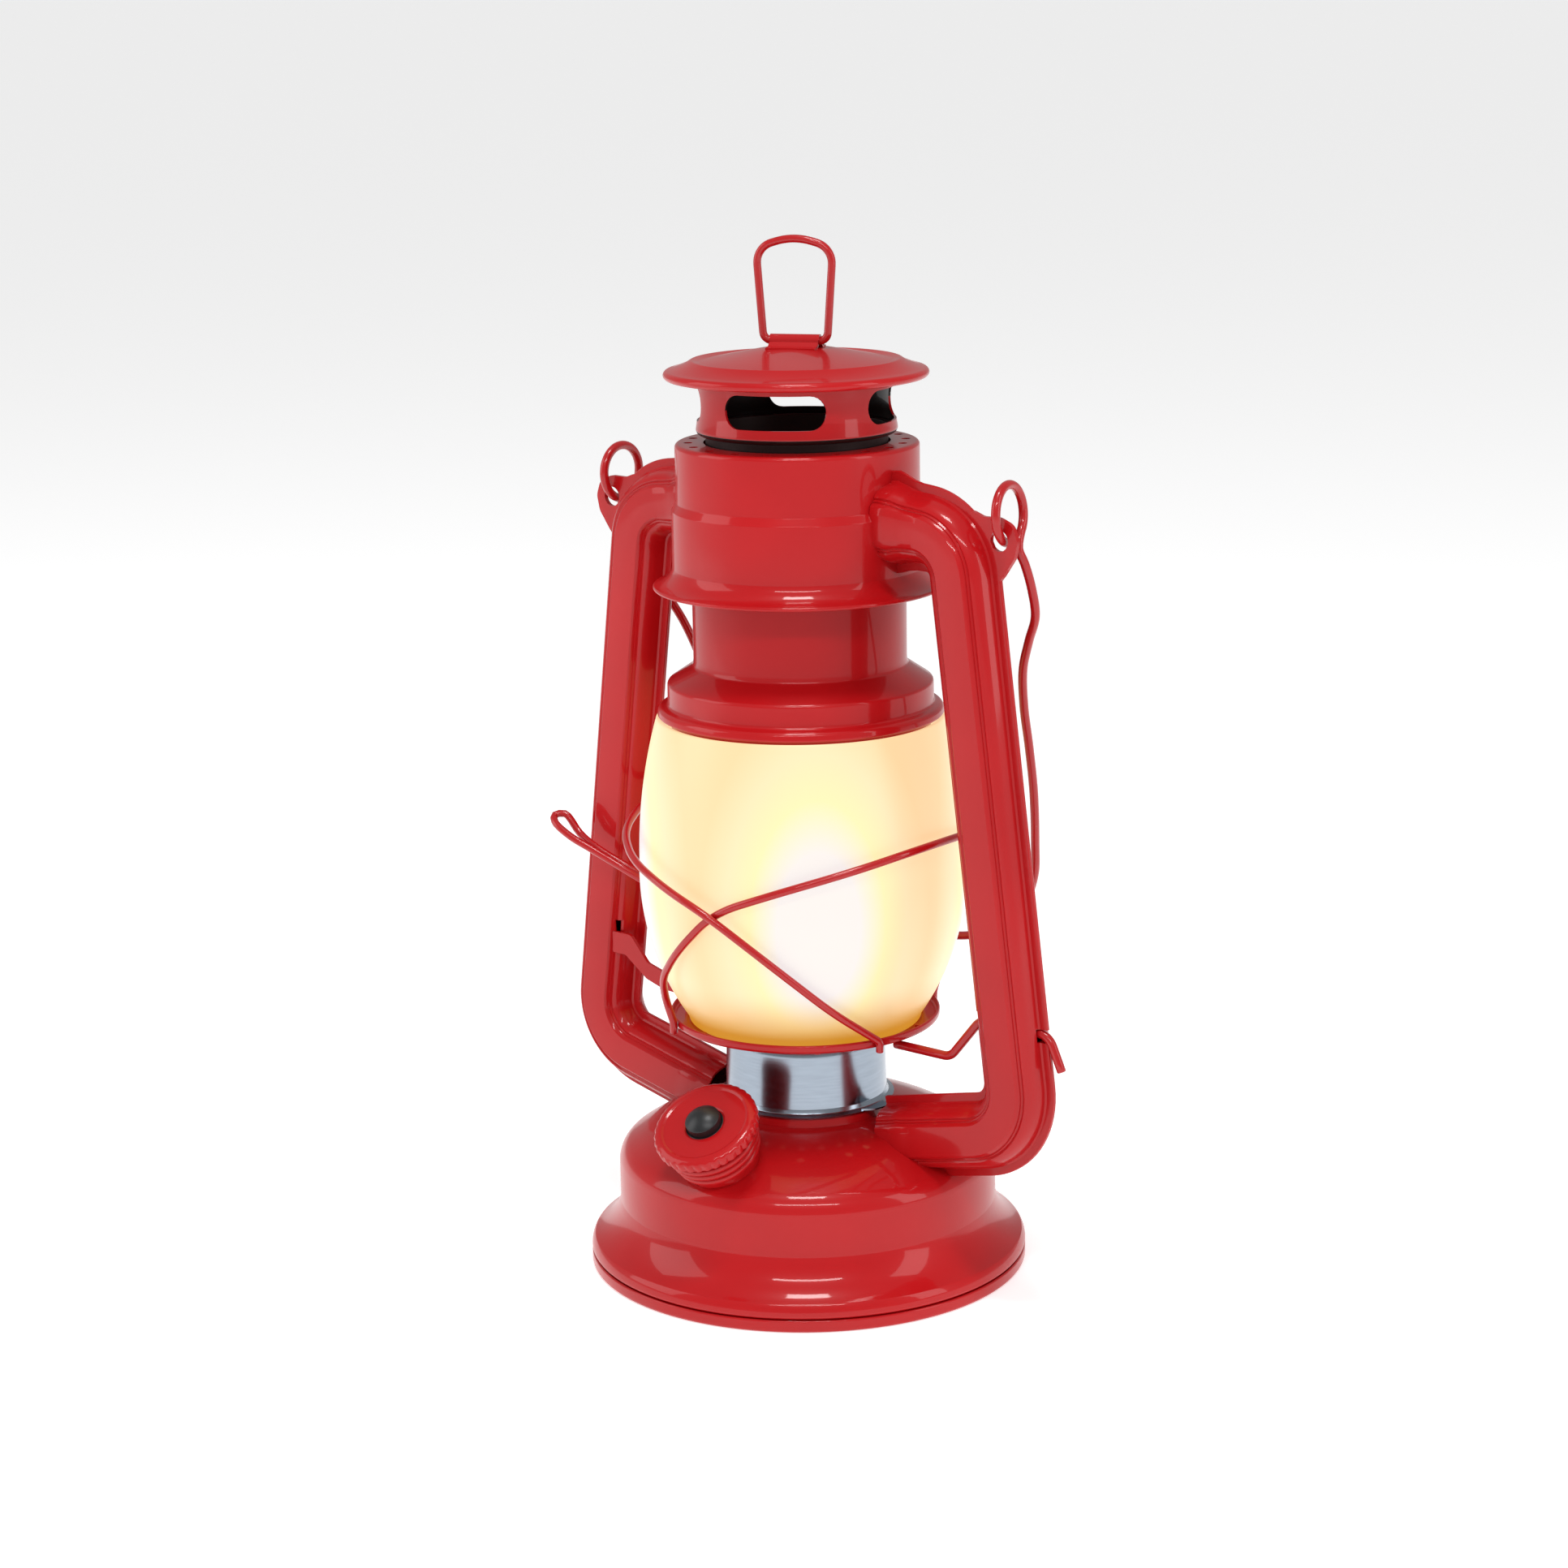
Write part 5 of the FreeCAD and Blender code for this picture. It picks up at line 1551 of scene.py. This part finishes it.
# ---- inside and underside -----------------------------------------------------------------------
class LANTERN_OT_cover(PieceOperator, bpy.types.Operator):
    """The twist-off battery cover with two finger grips and a ring of raised studs"""

    bl_idname = "lantern.cover"
    bl_label = "Battery cover"

    def build(self):
        wide = COVER.x1
        low = COVER.z0
        inner = 36.6
        disc = [(0.0, low), (wide - 0.5, low), (wide, low + 0.5), (wide, 2.1), (inner, 2.1)]
        wall = [(inner, COVER.z1), (inner - 1.6, COVER.z1), (inner - 1.6, 2.5), (0.0, 2.5)]
        piece = turned("battery_cover_moulded", soften(disc + wall, 0.3), finish("tray"))
        for low_y in (4.0, -8.0):
            pierce(piece, box_tool("grip", (-17.0, low_y, -1.0), (17.0, low_y + 4.0, 1.9)))
        rib = drum_tool("cover_rib", 0.8, 0.6)
        grown(piece, stud_tree, Tool=rib, Count=36, Ring_Radius=(wide - 2.6) * MM,
              Height=(low + 0.1) * MM, Turn=0.0, Material=finish("tray"))
        discard(rib)
        lugs = [piece]
        for side in (-1, 1):
            near, far = sorted((side * (inner - 0.4), side * (inner + 0.8)))
            lug = box_tool("lug", (near, -3.5, 5.4), (far, 3.5, 7.5))
            lug.data.materials[0] = finish("tray")
            lugs.append(lug)
        show(join("battery_cover_moulded", lugs), "battery_cover", "cover")


class LANTERN_OT_contacts(PieceOperator, bpy.types.Operator):
    """The three coned contact springs behind the cells"""

    bl_idname = "lantern.contacts"
    bl_label = "Contact springs"

    def build(self):
        span = Span("contact_springs")
        radius = (span.z1 - span.z0) / 2
        pitch = (span.x1 - span.x0 - 2 * radius) / 2
        thick = 0.35
        coils = []
        for index in (-1, 0, 1):
            coil = empty_piece("contact_coil_" + str(index + 1))
            grown(coil, coil_tree, Turns=4.0, Coil_Radius=(radius - thick) * MM, End_Radius=2.3 * MM,
                  Height=(span.y1 - span.y0 - 0.8) * MM, Wire_Radius=thick * MM,
                  Material=finish("spring"))
            middle = (index * pitch, span.y0 + 0.4, (span.z0 + span.z1) / 2)
            seat(coil, middle, Matrix.Rotation(math.radians(-90), 3, "X"))
            coils.append(coil)
        show(join("contact_coils", coils), "contact_springs", "frame")


class LANTERN_OT_lamps(PieceOperator, bpy.types.Operator):
    """The lamp column and the inner pieces, which keep their CAD shapes, each in its own finish"""

    bl_idname = "lantern.lamps"
    bl_label = "Lamp column and inner pieces"

    def build(self):
        coats = {
            "led_post": "post", "led_lamps": "lamp", "led_board": "board", "led_leads": "lead",
            "switch_leads": "lead", "switch_body": "button", "battery_box": "tray",
            "battery_cells": "sleeve", "contact_plates": "spring",
        }
        for node, key in coats.items():
            mesh = frame["nodes"][node].data
            for index in range(len(mesh.materials)):
                mesh.materials[index] = finish(key)


# ---- stage --------------------------------------------------------------------------------------
def soft_light(name, place, size, power, target):
    """A white soft box of this size in metres, turned towards the target."""
    lamp = bpy.data.lights.new(name, "AREA")
    lamp.shape = "RECTANGLE"
    lamp.size, lamp.size_y = size
    lamp.energy = power
    item = bpy.data.objects.new(name, lamp)
    item.location = place
    item.rotation_euler = (Vector(target) - Vector(place)).to_track_quat("-Z", "Y").to_euler()
    bpy.context.scene.collection.objects.link(item)


class LANTERN_OT_stage(PieceOperator, bpy.types.Operator):
    """Pale floor, soft studio light and the camera"""

    bl_idname = "lantern.stage"
    bl_label = "Stage"

    def build(self):
        floor, _, shader, _ = material("Pale backlit sweep", Roughness=0.9)
        shader.inputs["Base Color"].default_value = linear("F6F6F6")
        shader.inputs["Emission Color"].default_value = linear("FFFFFF")
        shader.inputs["Emission Strength"].default_value = 0.45
        half = 60000.0
        points = [(-half, -half, 0), (half, -half, 0), (half, half, 0), (-half, half, 0)]
        mesh = bpy.data.meshes.new("floor")
        mesh.from_pydata([tuple(v * MM for v in p) for p in points], [], [(0, 1, 2, 3)])
        mesh.materials.append(floor)
        plane = bpy.data.objects.new("floor", mesh)
        bpy.context.scene.collection.objects.link(plane)
        world = bpy.data.worlds.new("Studio")
        world.use_nodes = True
        world.node_tree.nodes["Background"].inputs["Color"].default_value = (1, 1, 1, 1)
        world.node_tree.nodes["Background"].inputs["Strength"].default_value = 0.42
        bpy.context.scene.world = world
        aim = (0, 0, 0.13)
        soft_light("left", (-0.95, -0.85, 0.62), (0.8, 1.0), 5.0, aim)
        soft_light("right", (1.2, 0.32, 0.6), (0.4, 1.0), 3.5, aim)
        soft_light("strip", (0.76, -0.95, 1.2), (1.0, 0.1), 6.5, aim)
        soft_light("top", (0.17, -0.22, 1.25), (0.3, 0.2), 5.0, aim)
        bpy.context.scene.view_settings.view_transform = "Standard"
        self.aim_camera()

    def aim_camera(self):
        """The camera stands 40 degrees round from the cap's side and looks a little down."""
        heading = math.radians(40.0)
        back = 0.856
        height = 0.331
        pitch = math.radians(13.40)
        yaw = math.radians(-0.31)
        roll = math.radians(-0.92)
        camera = bpy.data.cameras.new("camera")
        camera.lens = 78.8
        camera.sensor_width = 36.0
        item = bpy.data.objects.new("camera", camera)
        turn = Matrix.Rotation(heading - yaw, 4, "Z") @ Matrix.Rotation(math.radians(90) - pitch, 4, "X")
        turn = turn @ Matrix.Rotation(roll, 4, "Z")
        place = Matrix.Translation((back * math.sin(heading), -back * math.cos(heading), height))
        item.matrix_world = place @ turn
        bpy.context.scene.collection.objects.link(item)
        bpy.context.scene.camera = item


class LANTERN_PT_panel(bpy.types.Panel):
    """Lists the lantern's pieces"""

    bl_idname = "LANTERN_PT_panel"
    bl_label = "Lantern"
    bl_space_type = "VIEW_3D"
    bl_region_type = "UI"
    bl_category = "Lantern"

    def draw(self, context):
        for group in (context.scene.lantern_sizes, context.scene.lantern_colours):
            for name in group.bl_rna.properties.keys():
                if name not in ("rna_type", "name"):
                    self.layout.prop(group, name)
        for piece in PIECES:
            self.layout.operator(piece.bl_idname)


PIECES = (
    LANTERN_OT_base, LANTERN_OT_fount, LANTERN_OT_cap, LANTERN_OT_button, LANTERN_OT_burner,
    LANTERN_OT_plate, LANTERN_OT_globe, LANTERN_OT_guard, LANTERN_OT_thumb, LANTERN_OT_lever,
    LANTERN_OT_tubes, LANTERN_OT_chimney, LANTERN_OT_hood, LANTERN_OT_vent, LANTERN_OT_spring,
    LANTERN_OT_lid, LANTERN_OT_loop, LANTERN_OT_bail, LANTERN_OT_cover, LANTERN_OT_contacts,
    LANTERN_OT_lamps, LANTERN_OT_stage,
)
CLASSES = (LanternSizes, LanternColours, LANTERN_PT_panel) + PIECES


def register():
    for item in CLASSES:
        bpy.utils.register_class(item)
    bpy.types.Scene.lantern_sizes = bpy.props.PointerProperty(type=LanternSizes)
    bpy.types.Scene.lantern_colours = bpy.props.PointerProperty(type=LanternColours)


def unregister():
    del bpy.types.Scene.lantern_sizes
    del bpy.types.Scene.lantern_colours
    for item in reversed(CLASSES):
        bpy.utils.unregister_class(item)


def main():
    register()
    for piece in PIECES:
        group, name = piece.bl_idname.split(".")
        getattr(getattr(bpy.ops, group), name)()


if __name__ == "__main__":
    main()
